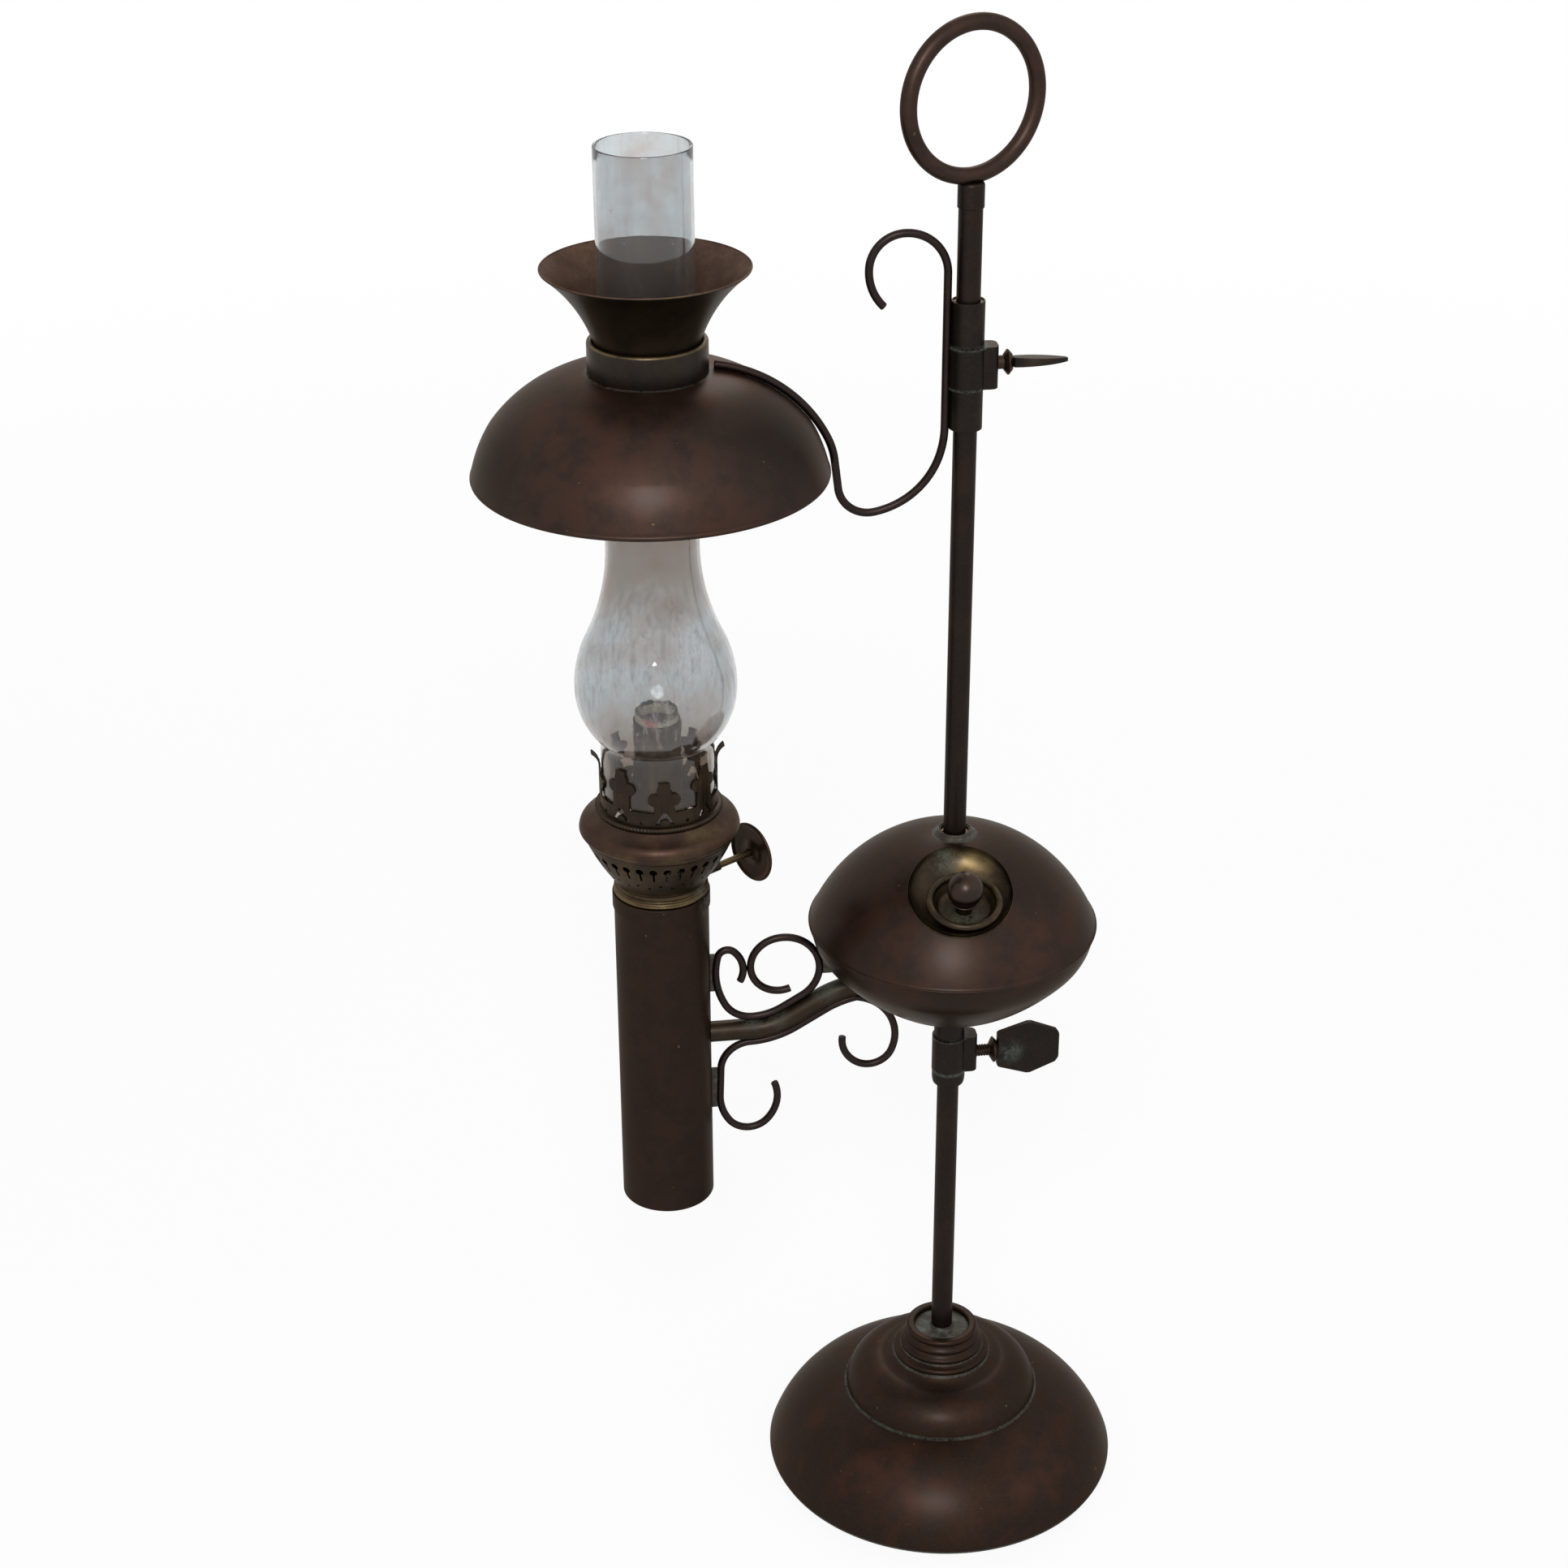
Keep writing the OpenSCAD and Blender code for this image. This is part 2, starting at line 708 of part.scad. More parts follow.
// one gap of the pierced band: a tall arch with a small tongue standing in it
module arch_cut() {
    difference() {
        union() {
            polygon([[-4.4, 0], [4.4, 0], [1.1, 5.6], [-1.1, 5.6]]);
            translate([0, 5.4]) circle(r = 1.1, $fn = 24);
        }
        translate([0, 0.2]) circle(r = 2.3, $fn = 24);
    }
}

// outwards from the crown's axis, along -y, with the face upright
module outward(a) {
    rotate([0, 0, a]) translate([0, -10, 0]) rotate([90, 0, 0]) linear_extrude(25) children();
}

module chimney_crown() {
    petals = 8;
    long_prongs = [2, 6];
    color(aged_brass) at_burner() union() {
        difference() {
            union() {
                pipe(crown_ro, crown_ro - crown_t, foot_z - 3, crown_waist_z);
                pipe(crown_ro - crown_t / 2, 23.5, foot_z - 1, foot_z);
            }
            for (i = [0 : petals - 1]) {
                translate([0, 0, 387.6]) outward(i * 360 / petals) arch_cut();
                translate([0, 0, 388.4]) outward((i + 0.5) * 360 / petals)
                    circle(r = 0.9, $fn = 16);
            }
        }
        intersection() {
            pipe(crown_ro, crown_ro - crown_t, crown_waist_z, 416);
            union() {
                for (i = [0 : petals - 1]) translate([0, 0, crown_waist_z])
                    outward(i * 360 / petals) petal(i % 2 == 0 ? 15 : 19);
                for (i = long_prongs) translate([0, 0, crown_waist_z])
                    outward(i * 360 / petals) translate([-2, 0]) square([4, 13]);
            }
        }
        for (i = long_prongs) rotate([0, 0, i * 360 / petals - 90 - 4.5])
            rotate_extrude(angle = 9) prong_tip();
    }
}

// section of a long prong above the petals, which bends outwards
module prong_tip() {
    translate([crown_ro - crown_t, crown_waist_z + 11]) square([crown_t, 2]);
    arc_wall([crown_ro + 3.4, crown_waist_z + 19.6], [crown_ro, crown_waist_z + 13], -8.1, -crown_t, true);
}

module outer_wick_tube() {
    color(dark_copper) difference() {
        at_burner() pipe(wick_tube_ro, wick_tube_ro - 0.8, 318, 428);
        at_shaft() translate([-4.4, 0, -4.4]) cube([8.8, 8, 8.8]);
    }
}

module inner_air_tube() {
    color(dark_copper) at_burner() pipe(air_ro, air_ro - 0.8, tube_z, 427);
}

// bearing sleeve through the basket wall, on a leg from the deck
module shaft_bearing() {
    color(aged_brass) at_shaft() difference() {
        union() {
            translate([11.5, 0, 0]) rotate([0, 90, 0]) cylinder(r = 2.3, h = 12.1);
            translate([11.5, -1.6, 343 - shaft_z]) cube([1.6, 3.2, shaft_z - 343]);
        }
        translate([11, 0, 0]) rotate([0, 90, 0]) cylinder(r = shaft_r + slip, h = 14);
    }
}

// plain hanger for the inner end of the shaft
module shaft_hanger() {
    color(aged_brass) at_shaft() difference() {
        translate([-9, -2.6, 343 - shaft_z]) cube([1.6, 5.2, shaft_z - 343 + 2.6]);
        translate([-10, 0, 0]) rotate([0, 90, 0]) cylinder(r = shaft_r + slip, h = 4);
    }
}

module wick() {
    color("#d9ceb0") at_burner() pipe(wick_ro, wick_ri, 262, 433.5);
}

module wick_shaft() {
    color(aged_brass) at_shaft() rotate([0, 90, 0]) translate([0, 0, -9.6])
        cylinder(r = shaft_r, h = knob_out + 9.6);
}

module wick_knob_disc() {
    color(aged_brass) at_shaft() translate([knob_out - 1.6, 0, 0]) rotate([0, 90, 0]) difference() {
        rotate_extrude() union() {
            polygon([[0, 0], [3, 0], [6, 1.5], [14, 0.9], [14, 1.7], [6, 2.4], [2.4, 3], [0, 3]]);
            translate([13.7, 1.3]) circle(r = 0.7, $fn = 24);
        }
        translate([0, 0, -1]) cylinder(r = shaft_r, h = 2.6);
    }
}

module spur_wheels() {
    teeth = 12;
    color("#777777") at_shaft() rotate([0, 90, 0]) difference() {
        union() {
            for (x = [-3.5, 2.5]) translate([0, 0, x]) linear_extrude(1)
                polygon([for (i = [0 : 2 * teeth - 1]) (i % 2 == 0 ? spur_r : spur_r - 0.9)
                    * [cos(i * 180 / teeth), sin(i * 180 / teeth)]]);
            translate([0, 0, -3]) cylinder(r = 2.3, h = 6);
        }
        translate([0, 0, -5]) cylinder(r = shaft_r, h = 10);
    }
}

// ---------- chimney glass ----------

module chimney_glass() {
    foot_r = glass_foot_d / 2;
    top_r = glass_top_d / 2;
    belly_r = bulge_d / 2;
    belly_z = 445;
    waist_z = 419;
    // upper flank of the bulge, and the hollow curve that meets it and the straight part
    flank_r = 53.7;
    flank_x = belly_r - flank_r;
    hollow_z = 513;
    rise = hollow_z - belly_z;
    side = top_r - flank_x;
    hollow_r = (side * side + rise * rise - flank_r * flank_r) / (2 * (flank_r - side));
    meet = [flank_x, belly_z] + flank_r * [side + hollow_r, rise] / (flank_r + hollow_r);
    low_r = (pow(belly_z - waist_z, 2) + pow(belly_r - foot_r, 2)) / (2 * (belly_r - foot_r));
    color([0.85, 0.87, 0.88, 0.4]) at_burner() rotate_extrude() union() {
        translate([foot_r - glass_t, foot_z]) square([glass_t, waist_z - foot_z + 0.6]);
        arc_wall([belly_r, belly_z], [foot_r, waist_z], low_r, glass_t, true);
        arc_wall(meet, [belly_r, belly_z], flank_r, glass_t, true);
        arc_wall([top_r, hollow_z], meet, -hollow_r, -glass_t, true);
        translate([top_r - glass_t / 2, hollow_z]) circle(r = glass_t / 2 + solder, $fn = 32);
        translate([top_r - glass_t, hollow_z]) square([glass_t, glass_top_z - hollow_z]);
    }
}

// ---------- shade ----------

module shade_sleeve() {
    color(dark_copper) difference() {
        pipe(sleeve_ro, sleeve_ri, 559, 616.6);
        screw_hole(shade_screw_z);
    }
}

module shade_arm() {
    color(dark_copper) union() {
        rod_from([-arm_x, 560], 90, hook_path, wire_r);
        rod_from([-arm_x, 560], -90, arm_path, wire_r);
        rod_from([-arm_x, 560], 90, [], wire_r);
    }
}

module shade_dome() {
    color(copper) at_burner() rotate_extrude() union() {
        difference() {
            arc_wall([shade_neck_r - 1, shade_neck_z + 0.12], crease, dome_r, sheet);
            translate([0, shade_neck_z - 9]) square([shade_neck_r, 20]);
        }
        straight_wall(crease + [-0.15, 0.2], [shade_r, rim_z], -sheet);
        translate([shade_r - 0.9, rim_z - 0.6]) circle(r = 1.1, $fn = 24);
    }
}

module shade_neck_ring() {
    color(aged_brass) at_burner() rotate_extrude() union() {
        translate([shade_neck_r - sheet, shade_neck_z - 1.5])
            square([sheet, ring_top_z - neck_bead_r - shade_neck_z + 1.5]);
        translate([shade_neck_r - neck_bead_r, ring_top_z - neck_bead_r])
            circle(r = neck_bead_r, $fn = 48);
        translate([throat_r, ledge_z]) square([shade_neck_r - throat_r - 0.2, sheet]);
    }
}

module shade_flare() {
    color(dark_copper) at_burner() rotate_extrude() union() {
        translate([throat_r - sheet, ledge_z - 1]) square([sheet, ring_top_z - ledge_z - 0.6]);
        arc_wall([flare_d / 2, flare_top_z], [throat_r, ring_top_z - 2], -66, -sheet, true);
    }
}

base_felt();
base_ballast();
base_shell();
base_cap();
neck_bush();
stem_rod();
stem_washer();
stem_nut();
ring_ferrule();
finial_ring();
font_bush();
font_lower_shell();
font_upper_shell();
font_center_tube();
font_top_ferrule();
font_clamp_block();
font_end_ring();
filler_cup();
filler_neck();
fuel_arm_tube();
upper_scroll();
lower_scroll();
upper_scroll_tab();
lower_scroll_tab();
font_scroll_tab();
burner_tube();
burner_tube_floor();
tube_collar();
burner_deck();
burner_basket();
gallery_flange();
gallery_ring();
chimney_crown();
outer_wick_tube();
inner_air_tube();
shaft_bearing();
shaft_hanger();
font_screw();
font_screw_wing();
wick_shaft();
wick_knob_disc();
spur_wheels();
wick();
chimney_glass();
filler_cap_plug();
filler_cap_dish();
filler_cap_knob();
shade_bush();
shade_sleeve();
shade_clamp_block();
shade_arm();
shade_dome();
shade_neck_ring();
shade_flare();
shade_screw();
shade_screw_wing();
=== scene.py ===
"""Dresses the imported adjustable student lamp: turned shells, bent wires, glass and aged metal.

Lengths in the code are millimetres, as a tinsmith would give them, and turn into metres when a
mesh is made. The stem is the z axis and the burner hangs on the -x side.
"""

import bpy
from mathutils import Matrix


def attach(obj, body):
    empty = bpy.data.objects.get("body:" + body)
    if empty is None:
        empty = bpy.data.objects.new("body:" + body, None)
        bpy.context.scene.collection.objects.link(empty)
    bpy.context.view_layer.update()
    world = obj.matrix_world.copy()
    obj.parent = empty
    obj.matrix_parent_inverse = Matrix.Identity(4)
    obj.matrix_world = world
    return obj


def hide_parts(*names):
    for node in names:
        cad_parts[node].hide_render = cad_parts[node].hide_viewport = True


bl_info = {
    "name": "Adjustable student lamp",
    "version": (1, 0, 0),
    "blender": (4, 5, 0),
    "location": "3D View > Sidebar > Student lamp",
    "description": "Builds the shells, wires, glass and finishes of a copper student lamp",
    "category": "Object",
}

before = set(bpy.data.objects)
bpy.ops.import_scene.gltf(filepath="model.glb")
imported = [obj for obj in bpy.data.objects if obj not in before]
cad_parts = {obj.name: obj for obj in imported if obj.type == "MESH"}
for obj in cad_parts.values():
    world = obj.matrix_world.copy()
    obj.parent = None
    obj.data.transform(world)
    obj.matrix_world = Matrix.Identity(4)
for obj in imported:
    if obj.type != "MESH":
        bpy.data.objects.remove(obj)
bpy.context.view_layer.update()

import math
from functools import reduce

import bmesh
import bpy
import numpy as np
from bpy.props import FloatProperty, FloatVectorProperty, IntProperty, PointerProperty
from mathutils import Matrix, Vector

MM = 0.001
TURN = 2 * math.pi
SEGMENTS = 192
SLIM = 64  # segments of thin pieces
MERGE = 1e-7  # metres within which two points are one
COPPER_SHEET = 0.8
BRASS_SHEET = 0.7
CORE = 0.3  # share of a mask's width that is full
BURNER_X = -138.0
STEM = Matrix()
BURNER = Matrix.Translation((BURNER_X, 0, 0))


def linear(code):
    """The linear colour of a #rrggbb code, with full alpha."""
    parts = [int(code[i : i + 2], 16) / 255 for i in (1, 3, 5)]
    light = (c / 12.92 if c <= 0.04045 else ((c + 0.055) / 1.055) ** 2.4 for c in parts)
    return (*light, 1.0)


# ---------- sizes and colours ----------


def length(name, description, millimetres):
    return FloatProperty(
        name=name, description=description, default=millimetres * MM,
        subtype="DISTANCE", unit="LENGTH", precision=4,
    )


def colour(name, description, code):
    return FloatVectorProperty(
        name=name, description=description, default=linear(code),
        subtype="COLOR", size=4, min=0, max=1,
    )


class LampSizes(bpy.types.PropertyGroup):
    wire_radius: length("Wire radius", "Radius of the wire of the scrolls and the shade arm", 1.8)
    fuel_radius: length("Fuel arm radius", "Outside radius of the tube to the burner", 5)
    knurl_depth: length("Knurl depth", "Depth of the knurling on the ring round the crown", 0.28)
    thread_depth: length("Thread depth", "Depth of the thread on the font's thumbscrew", 0.45)
    knurls: IntProperty(name="Knurls", description="Ridges round the knurled ring", default=110)
    glass_waves: length("Glass waves", "How far the glass wanders from a true round", 0.12)


class LampColours(bpy.types.PropertyGroup):
    copper: colour("Copper", "Brown patina of the shells", "#2f211a")
    copper_deep: colour("Deep copper", "Brown patina of the base", "#281a12")
    shade: colour("Shade copper", "Lighter brown of the shade", "#3a2a23")
    flare: colour("Flare copper", "Pale brown inside the flared collar", "#5b463b")
    copper_red: colour("Red copper", "Reddish blotches where the patina is thin", "#41281f")
    copper_dark: colour("Dark copper", "Darkest patina", "#1f1917")
    wire: colour("Wire", "Purple-brown patina of the bent wires", "#2a201f")
    brass: colour("Aged brass", "Dull brass of the burner and the filler cup", "#5c4e33")
    brass_dark: colour("Dark brass", "Brown stains on the brass", "#352b1f")
    # also the colour of painted highlights: the neck ring's glint, the filler cup's gold and the
    # flange's edge line
    brass_worn_and_glint: colour("Worn brass", "Rubbed edges", "#7a6744")
    verdigris: colour("Verdigris", "Grey-green crust at the soldered seams", "#4a524a")
    cotton: colour("Cotton", "Clean cotton of the wick", "#e3d8bb")
    char: colour("Char", "Burnt edge of the wick", "#211b17")
    red_thread: colour("Red thread", "Red mark woven into the wick", "#c2402f")
    glass: colour("Glass", "Grey tint of the chimney glass", "#d8e0e3")
    glass_warm: colour("Smoked glass", "Tint where smoke has browned the glass", "#cfcac8")
    dust: colour("Dust", "Film on the glass", "#aaa4a3")
    # brown of the glass's foot, also used above the belly for the painted reflection of the shade's
    # underside
    smoke_and_shade_reflection: colour("Smoke", "Brown film at the glass's foot", "#9c8673")
    crumb: colour("Crust grains", "Pale grains of the solder's crust", "#7d857b")
    iron: colour("Iron", "Cast iron of the weight", "#4a4846")
    iron_dark: colour("Dark iron", "Stains on the iron", "#2e2c2b")
    steel: colour("Steel", "Steel of the nut and the wheels", "#8d8b86")
    steel_dark: colour("Dark steel", "Stains on the steel", "#5d5a55")
    rust: colour("Rust", "Rust on iron and steel", "#6b3d22")
    felt: colour("Felt", "Green-black felt under the base", "#34352c")
    felt_dark: colour("Dark felt", "Darker patches of the felt", "#24251f")
    fibre: colour("Felt fibre", "Loose fibres of the felt", "#5a5b50")
    cotton_dull: colour("Dull cotton", "Dirt in the cotton", "#a8987a")
    cotton_gap: colour("Cotton gaps", "Gaps of the cotton's weave", "#8d7f66")


class LampSettings(bpy.types.PropertyGroup):
    sizes: PointerProperty(type=LampSizes)
    colours: PointerProperty(type=LampColours)


def sizes():
    return bpy.context.scene.student_lamp.sizes


def tone(name):
    return tuple(getattr(bpy.context.scene.student_lamp.colours, name))


# ---------- outlines and paths, in millimetres ----------


def arc_centre(p, q, r):
    """Centre of the circle of radius |r| through p and q: right of p -> q if r > 0, else left."""
    p, q = np.array(p, float), np.array(q, float)
    d = q - p
    size = np.hypot(*d)
    height = math.sqrt(max(r * r - size * size / 4, 0))
    return (p + q) / 2 + math.copysign(1, r) * height * np.array([d[1], -d[0]]) / size


def arc(p, q, r, n=24):
    """n points on the shorter arc of radius |r| from p to q, about arc_centre(p, q, r)."""
    c = arc_centre(p, q, r)
    a = math.atan2(p[1] - c[1], p[0] - c[0])
    b = math.atan2(q[1] - c[1], q[0] - c[0])
    b += TURN if b - a < -math.pi else -TURN if b - a > math.pi else 0
    t = np.linspace(a, b, n)
    return c + abs(r) * np.stack([np.cos(t), np.sin(t)], 1)


def round_arc(centre, r, start, end, n=12):
    """n points of a circle about centre, from one angle to another, in degrees."""
    t = np.radians(np.linspace(start, end, n))
    return np.array(centre, float) + r * np.stack([np.cos(t), np.sin(t)], 1)


def outline(*moves):
    """One outline from points (r, z), straight runs (r, z, step) and arcs (r, z, radius, n) that
    start at the point before, and arrays of points, leaving out points that repeat."""
    runs = []
    for move in moves:
        if isinstance(move, tuple) and len(move) > 2:
            start, end = runs[-1][-1], np.array(move[:2], float)
            if len(move) == 4:
                move = arc(start, end, *move[2:])
            else:
                n = max(int(np.hypot(*(end - start)) / move[2]), 1)
                move = start + (end - start) * np.linspace(0, 1, n + 1)[:, None]
        runs.append(np.atleast_2d(np.array(move, float)))
    points = np.concatenate(runs)
    keep = np.concatenate([[True], np.hypot(*np.diff(points, axis=0).T) > 1e-4])
    return points[keep]


def wall(points, t, rounded=6):
    """Closed outline of a sheet of thickness t to the left of a run of points, with rounded edges.

    Each point p moves along the unit normal n of the run to p + t n, and each end is closed by a
    half circle of diameter t."""
    d = np.gradient(points, axis=0)
    d /= np.hypot(*d.T)[:, None]
    n = np.stack([-d[:, 1], d[:, 0]], 1)
    far = points + t * n
    caps = []
    for i, way in ((-1, 1), (0, -1)):
        turn = np.linspace(0, math.pi, rounded + 2)[1:-1, None]
        across, along = way * n[i] * t / 2, way * d[i] * abs(t) / 2
        caps.append(points[i] + n[i] * t / 2 - across * np.cos(turn) + along * np.sin(turn))
    return outline(points, caps[0], far[::-1], caps[1])


def bent_path(start, heading, steps, gap=0.5):
    """Points along [radius, turn in degrees] and [length, 0] steps laid end to end from start."""
    p, h = np.array(start, float), math.radians(heading)
    runs = [p[None]]
    for size, turn in steps:
        if turn == 0:
            n = max(int(size / gap), 2)
            run = p + np.linspace(0, size, n)[1:, None] * np.array([math.cos(h), math.sin(h)])
        else:
            bend = math.radians(turn)
            side = math.copysign(1, bend)
            n = max(int(size * abs(bend) / gap), 8)
            t = h + np.linspace(0, bend, n)[1:]
            c = p + side * size * np.array([-math.sin(h), math.cos(h)])
            run = c + side * size * np.stack([np.sin(t), -np.cos(t)], 1)
            h += bend
        runs.append(run)
        p = run[-1]
    return np.concatenate(runs)


# ---------- meshes ----------


def moved(points, place):
    """Points moved by a matrix."""
    m = np.array(place)
    return points @ m[:3, :3].T + m[:3, 3]


def turn_about(axis, degrees):
    return Matrix.Rotation(math.radians(degrees), 4, axis)


def linked(name, data):
    """A new object of the scene."""
    obj = bpy.data.objects.new(name, data)
    bpy.context.scene.collection.objects.link(obj)
    return obj


def smooth(obj, crease):
    """Shades a piece smooth, apart from edges sharper than crease degrees."""
    obj.data.polygons.foreach_set("use_smooth", np.ones(len(obj.data.polygons), bool))
    obj.data.set_sharp_from_angle(angle=math.radians(crease))
    obj.data.update()


def clean(mesh, merge=MERGE, flatten=False, outward=False):
    """Merges points that fall together, drops faces without area, and, if asked, joins faces that
    lie in one plane and turns every face outward."""
    bm = bmesh.new()
    bm.from_mesh(mesh)
    bmesh.ops.remove_doubles(bm, verts=bm.verts, dist=merge)
    bmesh.ops.dissolve_degenerate(bm, edges=bm.edges, dist=MERGE)
    if flatten:
        bmesh.ops.dissolve_limit(bm, angle_limit=math.radians(1), verts=bm.verts, edges=bm.edges)
    if outward:
        bmesh.ops.recalc_face_normals(bm, faces=bm.faces)
    bm.to_mesh(mesh)
    bm.free()


def new_piece(name, points, faces, crease=35, outward=False):
    """A smooth object from points in millimetres and an (m, 4) array of corner numbers."""
    mesh = bpy.data.meshes.new(name)
    points = np.asarray(points, np.float64).reshape(-1, 3) * MM
    faces = np.asarray(faces, np.int32)
    mesh.vertices.add(len(points))
    mesh.vertices.foreach_set("co", points.astype(np.float32).ravel())
    mesh.loops.add(faces.size)
    mesh.loops.foreach_set("vertex_index", faces.ravel())
    mesh.polygons.add(len(faces))
    mesh.polygons.foreach_set("loop_start", np.arange(0, faces.size, 4, dtype=np.int32))
    mesh.update(calc_edges=True)
    clean(mesh, outward=outward)
    obj = linked(name, mesh)
    smooth(obj, crease)
    return obj


def ringed(name, rings, closed=True, **edges):
    """A piece from an (n, m, 3) array of n rings of m points, the last joined to the first if
    closed. Each quad is wound the same way."""
    n, m = rings.shape[:2]
    i, j = np.meshgrid(np.arange(n if closed else n - 1), np.arange(m), indexing="ij")
    i2, j2 = (i + 1) % n, (j + 1) % m
    faces = np.stack([i * m + j, i * m + j2, i2 * m + j2, i2 * m + j], -1).reshape(-1, 4)
    return new_piece(name, rings, faces, **edges)


def turned(name, profile, place=STEM, closed=True, segments=SEGMENTS, shift=None, crease=35):
    """A turned piece: (r, z) of an outline goes to (r cos t, r sin t, z) for a whole turn t, and
    place moves it from there.

    shift(t, r, z) may give small changes of r and z. An outline that isn't closed runs from axis
    to axis."""
    profile = np.asarray(profile, float)
    if closed:
        after = np.roll(profile, -1, axis=0)
        area = np.sum(profile[:, 0] * after[:, 1] - after[:, 0] * profile[:, 1])
    else:
        area = profile[-1, 1] - profile[0, 1]
    if area < 0:
        profile = profile[::-1]
    t = np.linspace(0, TURN, segments, endpoint=False)[None, :]
    r, z = (np.repeat(column[:, None], segments, 1) for column in profile.T)
    if shift:
        dr, dz = shift(t, r, z)
        r, z = r + dr, z + dz
    rings = moved(np.stack([r * np.cos(t), r * np.sin(t), z], -1), place)
    return ringed(name, rings, closed, crease=crease)


def tube_points(path, r, around):
    """Rings of radius r about a path in the x-z plane: c + r (cos a n + sin a j), with n the
    path's normal in that plane and j the unit vector along y."""
    d = np.gradient(path, axis=0)
    d /= np.hypot(*d.T)[:, None]
    a = np.linspace(0, TURN, around, endpoint=False)[None, :]
    r = np.broadcast_to(np.asarray(r, float).reshape(-1, 1), (len(path), 1))
    x = path[:, :1] - d[:, 1:] * r * np.cos(a)
    z = path[:, 1:] + d[:, :1] * r * np.cos(a)
    return np.stack([x, r * np.sin(a), z], -1)


def bent_wire(name, path, r, around=24, inner=None, edge=0.25):
    """A bent wire or tube that follows a path in the x-z plane, with its ends closed and eased."""
    step = np.gradient(path, axis=0)[[0, -1]]
    step /= np.hypot(*step.T)[:, None]
    ease = np.array([0.0, 0.3, 0.7, 1.0])[:, None] * edge
    first = path[0] + step[0] * ease
    last = path[-1] - step[1] * ease[::-1]
    far = np.hypot(*(path - path[0]).T) > edge
    near = np.hypot(*(path - path[-1]).T) > edge
    path = np.concatenate([first, path[far & near], last])
    radius = np.full(len(path), float(r))
    radius[:4] = radius[-4:][::-1] = r - edge * (1 - np.array([0, 0.7, 0.95, 1.0]))
    rings = tube_points(path, radius, around)
    if inner:
        rings = np.concatenate([rings, tube_points(path, inner, around)[::-1]])
    else:
        ends = np.repeat(rings[[0, -1]].mean(1)[:, None], around, 1)
        rings = np.concatenate([ends[:1], rings, ends[1:]])
    return ringed(name, rings, closed=bool(inner), outward=True)


def from_node(name, node, bevel=0.0, crease=30, segments=2):
    """A merged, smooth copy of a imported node, with its edges eased if a bevel is given."""
    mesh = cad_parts[node].data.copy()
    mesh.name = name
    clean(mesh, merge=2e-6, flatten=bool(bevel))
    obj = linked(name, mesh)
    smooth(obj, crease)
    if bevel:
        ease = obj.modifiers.new("eased edges", "BEVEL")
        ease.width = bevel * MM
        ease.segments = segments
        ease.limit_method = "ANGLE"
        ease.angle_limit = math.radians(crease)
        ease.harden_normals = True
    return obj


def cut_round(obj, place, r, low, high):
    """Cuts a round hole through a piece, along the z axis of place."""
    tool = turned("cutter", outline((0, low), (r, low), (r, high), (0, high)), place, closed=False)
    cut = obj.modifiers.new("hole", "BOOLEAN")
    cut.operation = "DIFFERENCE"
    cut.solver = "EXACT"
    cut.object = tool
    bpy.context.view_layer.update()
    depsgraph = bpy.context.evaluated_depsgraph_get()
    mesh = bpy.data.meshes.new_from_object(obj.evaluated_get(depsgraph))
    obj.modifiers.clear()
    obj.data = mesh
    bpy.data.objects.remove(tool)
    smooth(obj, 50)


def paint(mesh, look):
    mesh.materials.clear()
    mesh.materials.append(finish(look))


def dress(obj, look, body, node):
    """Gives a piece its finish and its body, and hides the node that it stands for."""
    paint(obj.data, look)
    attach(obj, body)
    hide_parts(node)


def dress_copy(name, look, body, slot, node, **edges):
    """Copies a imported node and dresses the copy."""
    dress(from_node(name, node, **edges), look, body, node)


def paint_nodes(look, *nodes):
    """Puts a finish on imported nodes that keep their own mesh."""
    for node in nodes:
        paint(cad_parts[node].data, look)


# ---------- shader maths ----------


def maths(operation, swapped=False):
    """A method of Value that adds one Math node, with the other value first if swapped."""

    def method(value, *others):
        values = (*others, value) if swapped else (value, *others)
        return value.nodes.node("ShaderNodeMath", dict(enumerate(values)), operation=operation)

    return method


class Value:
    """One socket of a node tree. Arithmetic on it adds Math nodes to the tree."""

    def __init__(self, nodes, socket):
        self.nodes = nodes
        self.socket = socket

    __add__ = __radd__ = maths("ADD")
    __sub__, __rsub__ = maths("SUBTRACT"), maths("SUBTRACT", swapped=True)
    __mul__ = __rmul__ = maths("MULTIPLY")
    sin, root = maths("SINE"), maths("SQRT")
    most, angle = maths("MAXIMUM"), maths("ARCTAN2")

    def step(self, low, high):
        """0 below low and 1 above high, or the reverse if low is above high, smooth between."""
        falls = low > high
        inputs = {0: self, 1: min(low, high), 2: max(low, high), 3: falls, 4: not falls}
        return self.nodes.node("ShaderNodeMapRange", inputs, interpolation_type="SMOOTHSTEP")


class Nodes:
    """A node tree being filled."""

    def __init__(self, tree):
        self.tree = tree
        tree.nodes.clear()

    def node(self, kind, inputs=None, output=0, **settings):
        """Adds one node, sets it up, fills or links its sockets, and returns one of its outputs."""
        made = self.tree.nodes.new(kind)
        for key, value in settings.items():
            setattr(made, key, value)
        for key, value in (inputs or {}).items():
            if isinstance(value, Value):
                self.tree.links.new(value.socket, made.inputs[key])
            else:
                made.inputs[key].default_value = value
        return Value(self, made.outputs[output]) if len(made.outputs) else None

    def shader_mix(self, factor, a, b):
        return self.node("ShaderNodeMixShader", {0: factor, 1: a, 2: b})

    def seen(self):
        """1 for what the camera sees straight, in a reflection or through glass."""
        rays = (f"Is {kind} Ray" for kind in ("Camera", "Glossy", "Transmission"))
        return reduce(Value.most, [self.node("ShaderNodeLightPath", output=ray) for ray in rays])


